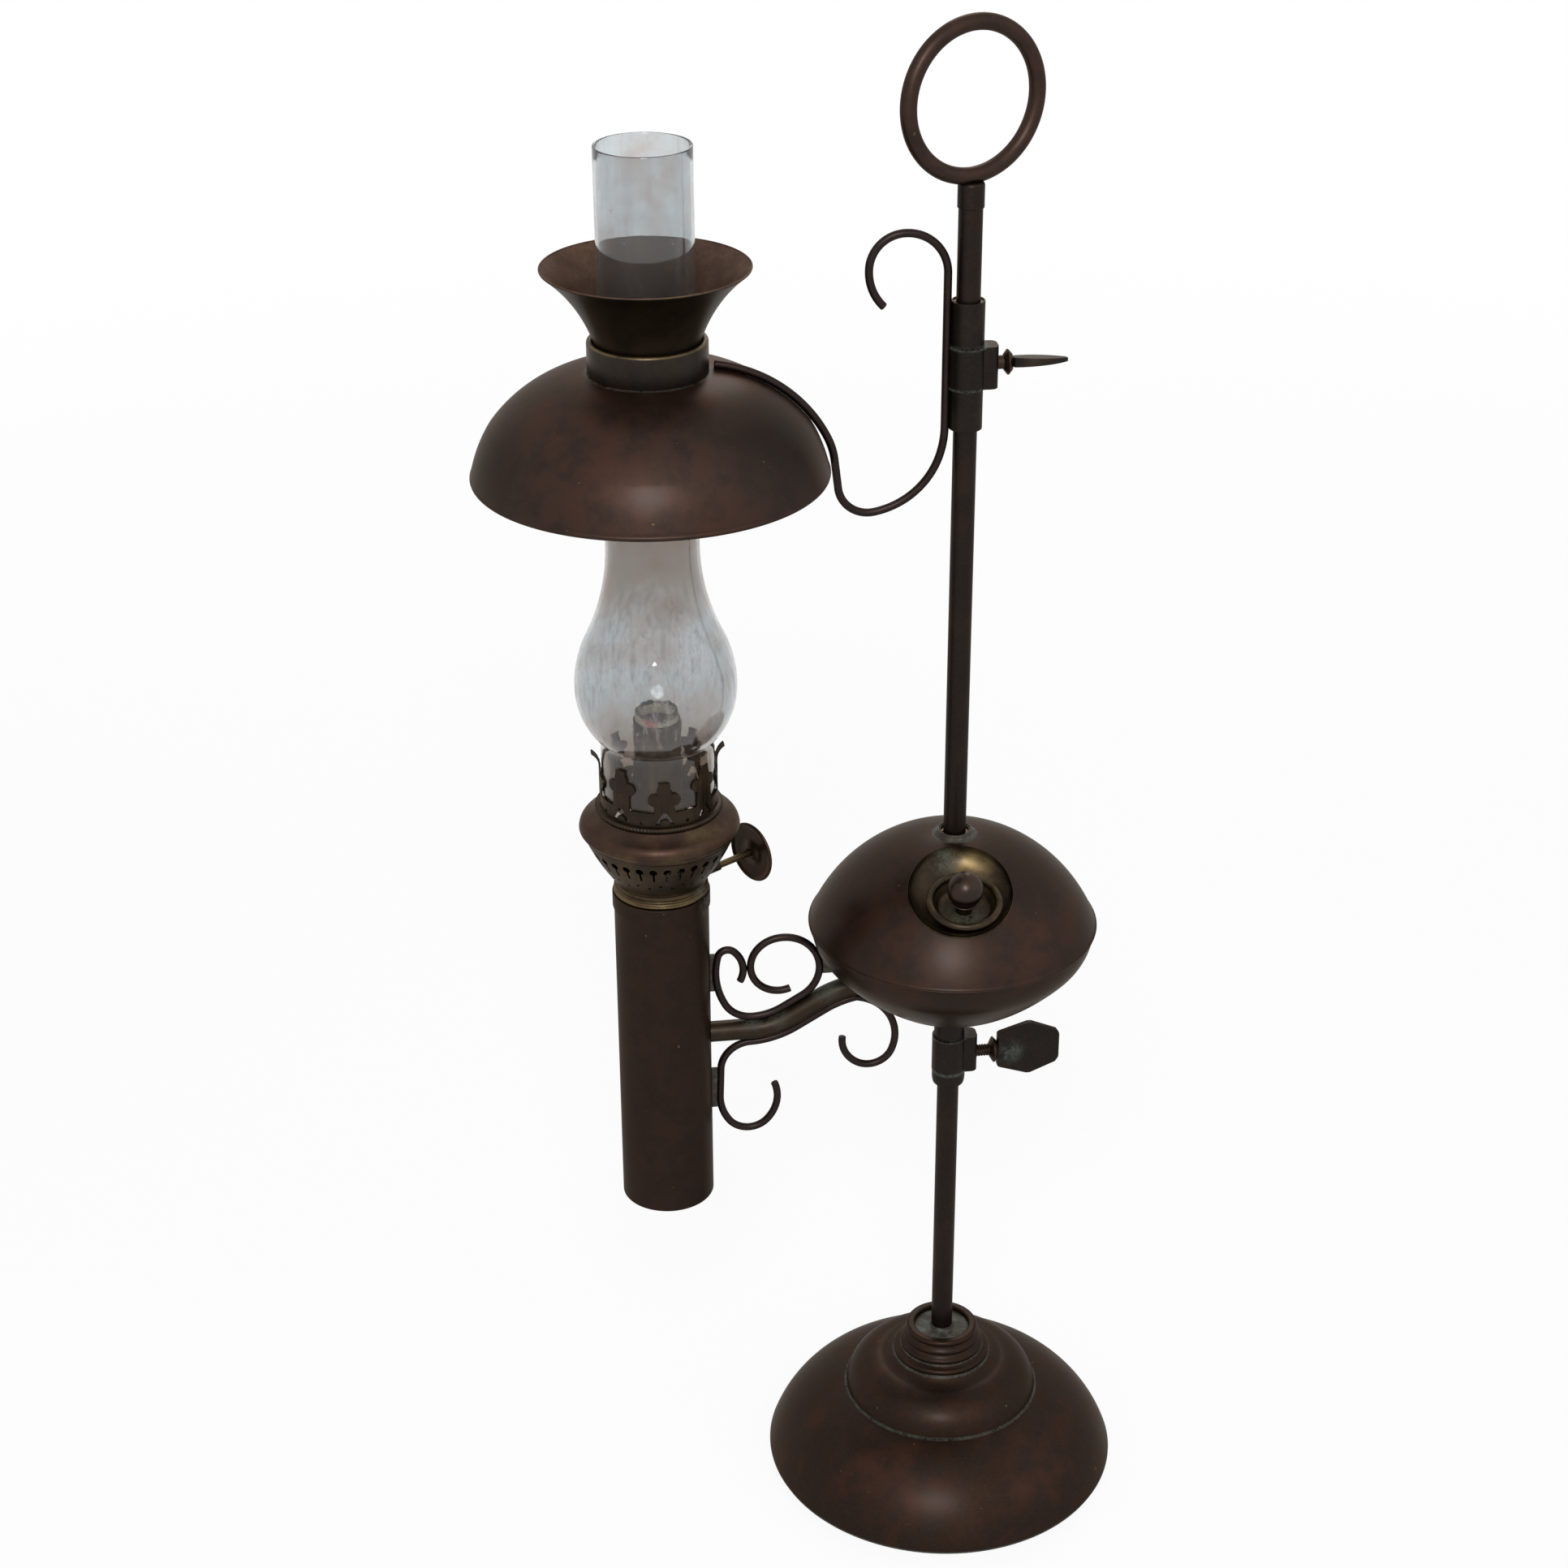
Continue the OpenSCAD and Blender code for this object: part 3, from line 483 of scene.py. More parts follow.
class Finish(Nodes):
    """A material being made: its paint so far, and the Object coordinates that its patterns read,
    in metres."""

    def __init__(self, name, base=None):
        self.material = bpy.data.materials.new(name)
        self.material.use_nodes = True
        super().__init__(self.material.node_tree)
        self.paint = base and tone(base)
        self.place = self.node("ShaderNodeTexCoord", output="Object")
        self.x, self.y, self.z = (
            self.node("ShaderNodeSeparateXYZ", {0: self.place}, axis) for axis in range(3)
        )

    def mix(self, factor, a, b):
        return self.node("ShaderNodeMix", {0: factor, 6: a, 7: b}, 2, data_type="RGBA")

    def cover(self, amount, colour_name):
        """Lays a colour over the paint, more where amount is nearer 1."""
        self.paint = self.mix(amount, self.paint, tone(colour_name))

    def noise(self, size, detail=4.0, rough=0.55, stretch=(1, 1, 1), offset=(0, 0, 0), warp=0.0):
        """Noise with blotches about size millimetres across, longer where stretch is above 1."""
        spread = {"Scale": tuple(1 / s for s in stretch), "Location": offset}
        place = self.node("ShaderNodeMapping", {"Vector": self.place, **spread})
        looks = {"Scale": 1 / (size * MM), "Detail": detail, "Roughness": rough, "Distortion": warp}
        return self.node("ShaderNodeTexNoise", {"Vector": place, **looks})

    def from_axis(self, x):
        """Distance from the upright axis at x millimetres, in metres."""
        dx = self.x - x * MM
        return (dx * dx + self.y * self.y).root()

    def bump(self, height, strength, distance):
        sockets = {"Height": height, "Strength": strength, "Distance": distance * MM}
        return self.node("ShaderNodeBump", sockets)

    def surface(self, **sockets):
        """A Principled surface with these sockets; names are given with _ for a space."""
        sockets = {key.replace("_", " "): value for key, value in sockets.items()}
        return self.node("ShaderNodeBsdfPrincipled", sockets)

    def done(self, shader):
        self.node("ShaderNodeOutputMaterial", {"Surface": shader})
        return self.material

    def plain(self, **sockets):
        """The finish that is one Principled surface in its paint."""
        return self.done(self.surface(Base_Color=self.paint, **sockets))


def ring_at(x, r, z, width, tail=3.0):
    """A mask: 1 on a level circle of radius r about the upright axis at x, fading over width."""

    def mask(f):
        dr, dz = f.from_axis(x) - r * MM, f.z - z * MM
        return (dr * dr + dz * dz).root().step(width * tail * MM, width * CORE * MM)

    return mask


def spot_at(p, width, tail=2.0):
    """A mask: 1 at a point, fading over width."""

    def mask(f):
        points = {0: f.place, 1: [c * MM for c in p]}
        d = f.node("ShaderNodeVectorMath", points, "Value", operation="DISTANCE")
        return d.step(width * tail * MM, width * CORE * MM)

    return mask


# ---------- finishes ----------


def patina(name, base="copper", warm="copper_red", dark="copper_dark", warmth=0.5, rough=0.4,
           gloss=0.15, green=(), worn_and_glint=(), darker=(), redder=()):
    """Aged copper or brass: blotches of two patinas and a darker one, fine grain and pinholes,
    grey-green crust in the green places and rubbed metal at the rubbed places, some of which are
    painted highlights, under a thin old lacquer. Each place is a mask."""
    f = Finish(name, base)
    blotch = f.noise(34, 5, 0.6, warp=0.4)
    cloud = f.noise(11, 4, 0.6, offset=(0.3, 0.1, 0.7))
    grain = f.noise(1.3, 3, 0.6)
    speck = f.noise(2.6, 2, 0.5, offset=(0.9, 0.2, 0.4))
    red = (blotch * 0.7 + cloud * 0.3).step(0.56 - 0.16 * warmth, 0.82 - 0.1 * warmth) * warmth
    shade = (blotch * 0.25 + cloud * 0.75).step(0.6, 0.36)
    f.cover(red, warm)
    f.cover(shade * 0.55, dark)
    for mask in redder:
        f.cover(mask(f) * cloud.step(0.2, 0.8) * 0.6, "copper_red")
    for mask in darker:
        f.cover(mask(f) * 0.8, dark)
    f.cover(grain.step(0.42, 0.66) * 0.22, "brass_dark")
    f.cover(speck.step(0.76, 0.79) * 0.5, "brass_worn_and_glint")
    # rubbed brass; at the shade's neck ring, the filler cup and the flange's roll it is also a
    # painted highlight
    if worn_and_glint:
        rub_and_glint = reduce(Value.most, [mask(f) * cloud.step(0.25, 0.6) for mask in worn_and_glint])
        f.cover(rub_and_glint * 0.6, "brass_worn_and_glint")
    roughness = rough + cloud * 0.12 + grain * 0.08 - red * 0.04
    height = blotch * 1.2 + cloud * 0.5 + grain * 0.12
    metal = 0.93
    if green:
        crumbs = (grain * 0.5 + cloud * 0.5).step(0.36, 0.62)
        crust = reduce(Value.most, [mask(f) * crumbs for mask in green])
        f.cover(crust * 0.7, "verdigris")
        roughness = roughness + crust * 0.3
        height = height + crust * 0.6 + crust * grain * 0.6
        metal = metal - crust * 0.8
    return f.plain(
        Metallic=metal,
        Roughness=roughness,
        Specular_Tint=(0.6, 0.55, 0.5, 1.0),
        Coat_Weight=gloss - cloud * gloss * 0.4,
        Coat_Roughness=0.3,
        Normal=f.bump(height, 0.3, 0.5),
    )


def crusted(name):
    """Solder under a grey-green crust."""
    f = Finish(name, "verdigris")
    cloud = f.noise(4.5, 4, 0.65)
    grain = f.noise(0.9, 3, 0.6)
    f.cover(cloud.step(0.3, 0.56), "brass_dark")
    f.cover(cloud.step(0.5, 0.7) * 0.7, "copper_dark")
    f.cover(grain.step(0.58, 0.78) * 0.2, "crumb")
    return f.plain(
        Metallic=0.35,
        Roughness=0.5 + grain * 0.2,
        Normal=f.bump(cloud + grain * 0.5, 0.6, 0.6),
    )


def dull_metal(name, base, dark, rough):
    """Plain iron or steel with stains and a little rust."""
    f = Finish(name, base)
    cloud = f.noise(9, 5, 0.6)
    grain = f.noise(0.8, 2, 0.5)
    rust = f.noise(14, 4, 0.7, offset=(0.4, 0.8, 0.1)).step(0.56, 0.7)
    f.cover(cloud.step(0.35, 0.65), dark)
    f.cover(rust * 0.6, "rust")
    return f.plain(
        Metallic=0.95 - rust * 0.7,
        Roughness=rough + cloud * 0.15 + rust * 0.2,
        Normal=f.bump(cloud + grain * 0.3, 0.4, 0.2),
    )


def felt_finish(name):
    """Old felt, with its fibres lighter than the rest."""
    f = Finish(name, "felt")
    fibre = f.noise(0.7, 4, 0.7)
    cloud = f.noise(12, 3, 0.5)
    f.cover(cloud, "felt_dark")
    f.cover(fibre.step(0.5, 0.7) * 0.3, "fibre")
    return f.plain(Roughness=0.95, Sheen_Weight=0.4, Normal=f.bump(fibre, 0.8, 0.6))


def cotton_finish(name):
    """Woven cotton: ribs along the wick and picks across it, a red mark, and char at the top."""
    ribs, pick_pitch = 60, 0.0011
    f = Finish(name, "cotton")
    rib = (f.y.angle(f.x - BURNER_X * MM) * ribs).sin() * 0.5 + 0.5
    pick = (f.z * (TURN / pick_pitch)).sin() * 0.5 + 0.5
    fuzz = f.noise(1.4, 3, 0.6)
    f.cover(fuzz.step(0.4, 0.7) * 0.5, "cotton_dull")
    f.cover((rib * pick).step(0.2, 0.0) * 0.35, "cotton_gap")
    f.cover(spot_at((BURNER_X - 4.5, -9.2, 430.5), 4.2, 1.4)(f), "red_thread")
    burnt = (f.z + fuzz * 0.004 + f.noise(5, 2) * 0.004).step(0.4338, 0.4362)
    f.cover(burnt, "char")
    return f.plain(
        Roughness=0.92,
        Sheen_Weight=0.2,
        Normal=f.bump(rib * pick + fuzz * 0.5, 0.6, 0.25),
    )


def glass_finish(name):
    """Old blown glass: clear, with a thin film of dust in streaks along it, seeds, wipes and
    scratches on the belly, smoky brown at the foot, and above the belly a brown painted
    reflection of the shade's dark underside. Heights are metres."""
    f = Finish(name, "glass")
    streak = f.noise(5, 4, 0.6, stretch=(1, 1, 14))
    wipe = f.noise(26, 4, 0.6, offset=(0.2, 0.5, 0.1))
    seed = f.noise(3.2, 1, 0.4, stretch=(1, 1, 1.6)).step(0.75, 0.78)
    scratch = f.noise(2.6, 4, 0.7, stretch=(1, 1, 5), offset=(0.6, 0.1, 0.3)).step(0.5, 0.68)
    belly = f.z.step(0.415, 0.44) * f.z.step(0.495, 0.475)
    film = streak.step(0.5, 0.78) * 0.11 + wipe.step(0.5, 0.75) * 0.06 + 0.045 + seed * 0.25
    film = film + scratch * belly * 0.3
    f.cover(wipe.step(0.35, 0.7), "glass_warm")
    f.cover(f.z.step(0.445, 0.4) * 0.8, "smoke_and_shade_reflection")
    # painted reflection: the shade's dark underside, seen in the glass above the belly, laid on as
    # brown
    f.cover(f.z.step(0.475, 0.495) * f.z.step(0.66, 0.6) * 0.55, "smoke_and_shade_reflection")
    clear = f.surface(
        Base_Color=f.paint,
        Roughness=0.012,
        IOR=1.46,
        Specular_IOR_Level=0.2,
        Transmission_Weight=1.0,
        Normal=f.bump(streak + wipe * 2, 0.12, 0.4),
    )
    dirt = f.mix(f.z.step(0.46, 0.4), tone("dust"), tone("smoke_and_shade_reflection"))
    return f.done(f.shader_mix(film, clear, f.surface(Base_Color=dirt, Roughness=0.7)))


PATINAS = {
    "base copper": dict(
        base="copper_deep", warmth=0.6, gloss=0.11,
        redder=[spot_at((-30, -62, 31), 14, 2.2), spot_at((40, -62, 28), 12, 2.2)],
        green=[
            ring_at(0, 48.6, 40, 0.4), ring_at(0, 24.2, 59.6, 0.5, 2.0),
            ring_at(0, 20.6, 64.2, 0.4, 2.0),
        ],
    ),
    "shade copper": dict(
        base="shade", warmth=0.7, rough=0.42,
        green=[ring_at(BURNER_X, 26.4, 591, 0.7)],
        redder=[spot_at((-168, -38, 580), 18), spot_at((-160, -62, 565), 12)],
        darker=[spot_at((-84, -44, 575), 26, 1.8), spot_at((-205, -20, 560), 14)],
    ),
    "font copper": dict(
        rough=0.38,
        green=[ring_at(0, 9.6, 359, 0.8, 2.0)],
        redder=[spot_at((-40, -26, 336), 16), spot_at((30, -50, 325), 12)],
    ),
    "dark copper": dict(
        base="copper_dark", warm="brass_dark", warmth=0.8,
        green=[ring_at(0, 8.2, z, 0.7, 2.2) for z in (248.6, 229.4, 596.6, 577.4)],
    ),
    "stem copper": dict(base="copper_dark", warm="copper", warmth=0.9),
    "burner tube copper": dict(
        warmth=0.3, rough=0.46, gloss=0.08, green=[spot_at((-118, -12, 337), 4)]
    ),
    "bent wire": dict(base="wire", warm="copper", warmth=0.7, rough=0.38),
    "fuel arm copper": dict(
        base="brass_dark", warm="copper", warmth=0.7,
        green=[spot_at((-84, 2, 266), 5), spot_at((-62, 0, 283), 6), spot_at((-96, 0, 266), 4)],
    ),
    "flare copper, outside": dict(base="brass_dark", warm="copper", warmth=0.3, gloss=0.22),
    "flare copper, inside": dict(
        base="flare", warm="brass_worn_and_glint", dark="shade", warmth=0.6, rough=0.5, gloss=0.1,
        redder=[spot_at((-165, 10, 628), 10)], worn_and_glint=[spot_at((-112, -12, 626), 7, 2.2)],
    ),
    "ring copper": dict(base="shade"),
    "aged brass": dict(
        base="brass", warm="copper", dark="brass_dark", warmth=0.9, rough=0.34,
        worn_and_glint=[ring_at(BURNER_X, 21.6, 342.3, 0.6, 2)], green=[spot_at((-121, -13, 343), 5, 1.8)],
    ),
    "filler cup brass": dict(
        base="brass_dark", warm="brass", warmth=0.9, rough=0.33,
        # painted highlight: the cup's gold highlight on its far wall, laid on as rubbed brass
        worn_and_glint=[spot_at((6, -17, 350), 8)], green=[spot_at((-8, -15, 353), 5)],
    ),
    "cap brass": dict(
        base="brass_dark", warm="brass", warmth=0.9, rough=0.36,
        green=[spot_at((-4, -45, 337), 8, 1.6)],
    ),
    "cap knob copper": dict(warmth=0.9, rough=0.3, gloss=0.35),
    "wick tube": dict(
        base="brass", warm="copper_dark", warmth=0.7, rough=0.5, gloss=0.0,
        darker=[ring_at(BURNER_X, 12, 429, 1.5, 2.5), ring_at(BURNER_X, 12, 390, 12, 2)],
    ),
    "knob brass": dict(
        base="brass_dark", warmth=0.8, rough=0.36, worn_and_glint=[spot_at((-99, -20, 377), 4, 2.5)]
    ),
    "basket brass": dict(base="brass_dark", warm="brass", rough=0.42),
    "flange brass": dict(
        base="shade", warm="brass", dark="copper", warmth=0.75,
        redder=[ring_at(BURNER_X, 36, 378, 1.6, 2.2)],
        # partly painted highlight: rubbed brass on the roll's lower edge, standing in for its
        # bright edge line too
        worn_and_glint=[ring_at(BURNER_X, 36.6, 373.4, 0.3, 2)],
    ),
    "neck ring brass": dict(
        base="copper_dark", warm="brass_dark", warmth=0.9, rough=0.32, gloss=0.3,
        # partly painted highlight: rubbed brass on the bead's top edge, laid where it shows as a
        # glint
        worn_and_glint=[ring_at(BURNER_X, 25.5, 606.0, 0.5, 2.0)],
    ),
    "thumbscrew": dict(
        base="copper_dark", warm="brass_dark", warmth=0.7, rough=0.42,
        green=[spot_at((30, -2, 237), 5, 1.8), spot_at((20, 0, 238), 2.5)],
    ),
}
OTHER_FINISHES = {
    "solder crust": crusted,
    "cast iron": lambda name: dull_metal(name, "iron", "iron_dark", 0.6),
    "steel": lambda name: dull_metal(name, "steel", "steel_dark", 0.4),
    "green-black felt": felt_finish,
    "wick cotton": cotton_finish,
    "chimney glass": glass_finish,
}
FINISHES = {}


def finish(name):
    """The finish of that name, made the first time that it is asked for."""
    if name not in FINISHES:
        make = OTHER_FINISHES.get(name, patina)
        FINISHES[name] = make(name, **PATINAS.get(name, {}))
    return FINISHES[name]


# ---------- operators ----------


class LampOperator(bpy.types.Operator):
    bl_options = {"REGISTER", "UNDO"}


class LAMP_OT_base(LampOperator):
    """Turn the two-dome base, its neck and the solder round the stem's foot"""

    bl_idname = "lamp.base"
    bl_label = "Base"

    def execute(self, context):
        rim = outline(
            (43.4, 40), (47.8, 40, 1), (88, 3, 57, 60),
            round_arc((87.1, 2.1), 0.9, 0, -150, 10),
        )
        dome = turned("base_dome", wall(rim, -COPPER_SHEET), crease=60)
        dress(dome, "base copper", "stand", "base_shell")
        steps = outline(
            (48.4, 40), (31.5, 56.5, -18.9, 40), (23.5, 60.6, 11, 14),
            round_arc((22.5, 61.5), 1.7, -32, 70, 12), (23.1, 63.1), (20.3, 64.8, 5, 6),
            round_arc((19.3, 66), 1.7, -45, 62, 12), (20.1, 67.5), (18.7, 69.2, 4, 6),
            round_arc((17.5, 70.4), 1.7, -45, 50, 12), (18.6, 71.7), (17.6, 73.6, 3.5, 6),
            round_arc((16.3, 74.8), 1.7, -40, 90, 14), round_arc((14.7, 75.5), 1.0, 90, 180, 8),
            (13.7, 74.8), (13.7, 59.2), (21, 59), (23.2, 59.8), (31.2, 55.7, -10.2, 12),
            (47.6, 40.05, 18.1, 30),
        )
        cap = turned("base_cap_dome", steps, crease=50)
        dress(cap, "base copper", "stand", "base_cap")

        def lumps(t, r, z):
            """The solder's top wanders by a fifth of a millimetre round the stem."""
            free = (z > 73) * (r < 13) * (r > 5.3)
            return 0 * r, free * (0.16 * np.sin(3 * t + 1) + 0.1 * np.sin(7 * t))

        solder = outline(
            (5.25, 58), (13.7, 58), (13.7, 74.1), (6.9, 74.2, -18, 10), (5.4, 75.8, 1.9, 8),
            (5.25, 75.9),
        )
        disc = turned("neck_solder", solder, shift=lumps, crease=60)
        dress(disc, "solder crust", "stand", "neck_bush")
        paint_nodes("green-black felt", "base_felt")
        paint_nodes("cast iron", "base_ballast")
        paint_nodes("steel", "stem_washer", "stem_nut")
        return {"FINISHED"}


class LAMP_OT_stem(LampOperator):
    """Draw the stem and its carrying ring"""

    bl_idname = "lamp.stem"
    bl_label = "Stem and ring"

    def execute(self, context):
        rod = outline(
            (0, 2), (4.9, 2), (5.25, 2.35), (5.25, 664.8, 20), (5.0, 665), (0, 665)
        )
        stem = turned("stem", rod, closed=False, segments=SLIM)
        dress(stem, "stem copper", "stand", "stem_rod")
        ferrule = outline(
            (5.3, 657.2), (5.6, 657), (5.8, 657.2), (5.8, 666.6), (4.9, 668, -1.6, 6),
            (3.1, 668), (3.1, 665.1), (5.25, 665.1),
        )
        socket = turned("ring_socket", ferrule, segments=SLIM)
        dress(socket, "stem copper", "stand", "ring_ferrule")
        upright = Matrix.Translation((0, 0, 702.5)) @ turn_about("Z", 22) @ turn_about("X", 90)
        wire = round_arc((31.9, 0), 3.6, 0, 360, 33)[:-1]
        ring = turned("carrying_ring", wire, upright, segments=200)
        dress(ring, "ring copper", "stand", "finial_ring")
        return {"FINISHED"}


LID_R = 77
FILLER_R = 36
CUP_R = 24.1


def lid_height(r):
    """Height of the font's top shell at a distance r from the stem."""
    c = arc_centre((7.35, 359.4), (67.9, 313), LID_R)
    return c[1] + np.sqrt(LID_R**2 - (r - c[0]) ** 2)


def filler_place():
    """The filler's own frame: z along its tilted axis, origin on the top shell."""
    foot = Matrix.Translation((0, -FILLER_R, lid_height(FILLER_R)))
    return turn_about("Z", -6) @ foot @ turn_about("X", 30)


def cap_place():
    """The cap's frame, which stands more upright than the cup round it."""
    return filler_place() @ Matrix.Translation((1, -8.5, 0)) @ turn_about("X", -12)


def sleeve(low, high):
    """Outline of a sleeve that slides on the stem."""
    return outline(
        (6.49, low + 0.1), (6.6, low), (7.25, low), (7.35, low + 0.1), (7.35, high - 0.2),
        (7.2, high), (6.6, high), (6.49, high - 0.2),
    )


class LAMP_OT_font(LampOperator):
    """Turn the font's two shells and cut the filler's hole in the upper one"""

    bl_idname = "lamp.font"
    bl_label = "Fuel font"

    def execute(self, context):
        bowl = outline((67.1, 312.5), (61.5, 297, 25.1, 24), (7.4, 260.5, 122, 50))
        lower = turned("font_bowl", wall(bowl, -COPPER_SHEET), crease=60)
        dress(lower, "font copper", "font", "font_lower_shell")
        lid = outline(
            (7.4, 359.35), (67.6, 313.4, LID_R, 80), round_arc((67.75, 312.8), 0.5, 70, -70, 8),
            (67.9, 312.1), (67.9, 311.8),
        )
        upper = turned("font_lid", wall(lid, -COPPER_SHEET), crease=60)
        cut_round(upper, filler_place(), 24.0, -14, 20)
        dress(upper, "font copper", "font", "font_upper_shell")
        tube = turned("font_sleeve", sleeve(222.5, 361), segments=SLIM)
        dress(tube, "dark copper", "font", "font_center_tube")

        def lumps(t, r, z):
            """The fillet of solder wanders as it was run round by hand."""
            return (r > 8.4) * (0.3 * np.sin(2 * t + 0.6) + 0.2 * np.sin(5 * t)), 0 * z

        edge = lid_height(9.6)
        fillet = outline(
            (7.36, edge - 0.3), (9.6, edge - 0.25), (9.6, edge + 0.05), (8.1, 361.2, 3.4, 12),
            (7.9, 361.4), (7.36, 361.4),
        )
        solder = turned("font_solder_ring", fillet, shift=lumps, crease=60)
        dress(solder, "solder crust", "font", "font_top_ferrule")
        end = outline(
            (7.36, 222.5), (7.5, 222.5), (8.0, 225.5, -12, 8), (8.0, 229.5), (7.36, 229.5)
        )
        ring = turned("font_sleeve_end", end, segments=SLIM)
        dress(ring, "dark copper", "font", "font_end_ring")
        dress_copy(
            "font_clamp", "dark copper", "font", "dark_copper", "font_clamp_block", bevel=0.35
        )
        return {"FINISHED"}


class LAMP_OT_filler(LampOperator):
    """Sink the filler's cup and neck into the font, and set the cap with its knob"""

    bl_idname = "lamp.filler"
    bl_label = "Filler and cap"

    def execute(self, context):
        place = filler_place()
        t = np.linspace(0, TURN, SEGMENTS, endpoint=False)
        ring = np.stack([np.cos(t), np.sin(t)], 1)

        def circle(r, z):
            """Points at a distance r from the filler's axis and at the heights z along it."""
            return np.column_stack([r * ring, z])

        # height, along the filler's axis, at which the cup's edge meets the top shell
        edge = np.zeros_like(t)
        for _ in range(12):
            p = moved(circle(CUP_R, edge), place)
            edge -= (p[:, 2] - lid_height(np.hypot(p[:, 0], p[:, 1]))) * 0.9
        bowl = outline((0, -8.6), (12.5, -8.6), (22.2, -4.2, -13.5, 16), (23.6, -1.5, -4, 8))
        hole = (1, -10.3) + ring * (7.9, 8.1)
        part = np.linspace(0, 1, 30)[:, None, None]

        def sheet(reach, drop):
            """From the neck's hole to a circle, level points p = (1 - s) hole + s circle, at the
            bowl's height there less drop."""
            plan = (1 - part) * hole + part * ring * reach
            return np.dstack([plan, np.interp(np.hypot(*plan.T).T, *bowl.T) - drop])

        rolled = ((23.75, -0.5), (23.85, 0.15), (24.15, 0.45), (24.5, 0.2), (24.45, -0.6))
        rows = [circle(r, edge + dz)[None] for r, dz in rolled]
        rows.append(circle(CUP_R, np.minimum(edge - 1.2, -1.2))[None])
        rings = np.concatenate([sheet(23.6, 0), *rows, sheet(23.3, 0.75)[::-1]])
        cup = ringed("filler_bowl", moved(rings, place), crease=60, outward=True)
        dress(cup, "filler cup brass", "font", "filler_cup")
        paint_nodes("aged brass", "filler_neck", "filler_cap_plug")
        dish = outline(
            (0, -5), (9.6, -5), (12.8, -3.4, -5, 8), (15.4, 0.6, 30, 6),
            round_arc((15.9, 1.6), 1.6, -70, 200, 20), (14.3, 0.6), (12.1, -2.9, -30, 6),
            (9.4, -4.1, 4, 8), (0, -4.1),
        )
        cap = turned("cap_dish", dish, cap_place(), closed=False, crease=50)
        dress(cap, "cap brass", "filler_cap", "filler_cap_dish")
        ball = outline(
            (0, -4.1), (3.8, -4.1), (3.8, 1.2), (5.2, 2.3, 1.6, 6),
            round_arc((6.3, 2.9), 0.5, -80, 80, 8), (5.0, 3.4),
            round_arc((0, 9.6), 8.3, -48, 90, 40),
        )
        knob = turned("cap_knob", ball, cap_place(), closed=False, segments=96)
        dress(knob, "cap knob copper", "filler_cap", "filler_cap_knob")
        return {"FINISHED"}


FUEL_START = (-116.5, 260.5)
FUEL_PATH = [[20.5, 0], [35, 31], [16, 0], [52, -20], [15, 0]]
UPPER_START = (-96.0, 267.25)
UPPER_FORE = [[28.25, 31], [10.9, 0], [17.5, 64], [17.5, 101], [14.7, 92], [13.7, 94]]
UPPER_BACK = [[14.6, -62], [37, -42], [4.6, -118], [13.5, -76]]
LOWER_FORE = [[16, 0], [45, -20], [2.5, -21.5], [22.7, -101.5], [11.8, -102], [15, -64]]
LOWER_BACK = [[45, -30], [14.8, 87], [15, 0], [23.7, 37], [11.8, 102], [19.6, 65]]
SCROLL_GAP = 6.75  # from the middle of the arm to the middle of a scroll's wire
HOOK_START = (-9.1, 560)
HOOK_PATH = [[68.7, 0], [18.3, 94], [15.6, 81], [21.7, 51]]
SHADE_ARM_PATH = [[44.5, -16.4], [36.2, -64.8], [13.8, -91.8], [13.4, 0], [33, 19], [65.25, 55.5]]


def two_way_path(start, heading, fore, back):
    """A path through start: back, the other way from it, reversed, and then fore."""
    behind = bent_path(start, heading + 180, back)[::-1]
    return np.concatenate([behind, bent_path(start, heading, fore)[1:]])


class LAMP_OT_arm(LampOperator):
    """Bend the fuel arm and the wire scrolls above and below it"""

    bl_idname = "lamp.arm"
    bl_label = "Fuel arm and scrolls"

    def execute(self, context):
        r, wire = sizes().fuel_radius / MM, sizes().wire_radius / MM
        path = bent_path(FUEL_START, 0, FUEL_PATH, 1.0)
        tube = bent_wire("fuel_arm", path, r, around=48, inner=r - 1, edge=0.1)
        dress(tube, "fuel arm copper", "font", "fuel_arm_tube")
        upper = two_way_path(UPPER_START, 0, UPPER_FORE, UPPER_BACK)
        scroll = bent_wire("scroll_above", upper, wire)
        dress(scroll, "bent wire", "font", "upper_scroll")
        # the lower scroll starts under the end of the arm's first bend
        bend_r, slope = FUEL_PATH[1]
        sine, cosine = math.sin(math.radians(slope)), math.cos(math.radians(slope))
        x = FUEL_START[0] + FUEL_PATH[0][0] + bend_r * sine
        z = FUEL_START[1] + bend_r * (1 - cosine)
        start = (x + SCROLL_GAP * sine, z - SCROLL_GAP * cosine)
        scroll = bent_wire("scroll_below", two_way_path(start, slope, LOWER_FORE, LOWER_BACK), wire)
        dress(scroll, "bent wire", "font", "lower_scroll")
        for where in ("upper", "lower", "font"):
            tab = f"{where}_scroll_tab"
            dress_copy(f"{where}_tie", "solder crust", "font", "solder", tab, bevel=0.15)
        return {"FINISHED"}


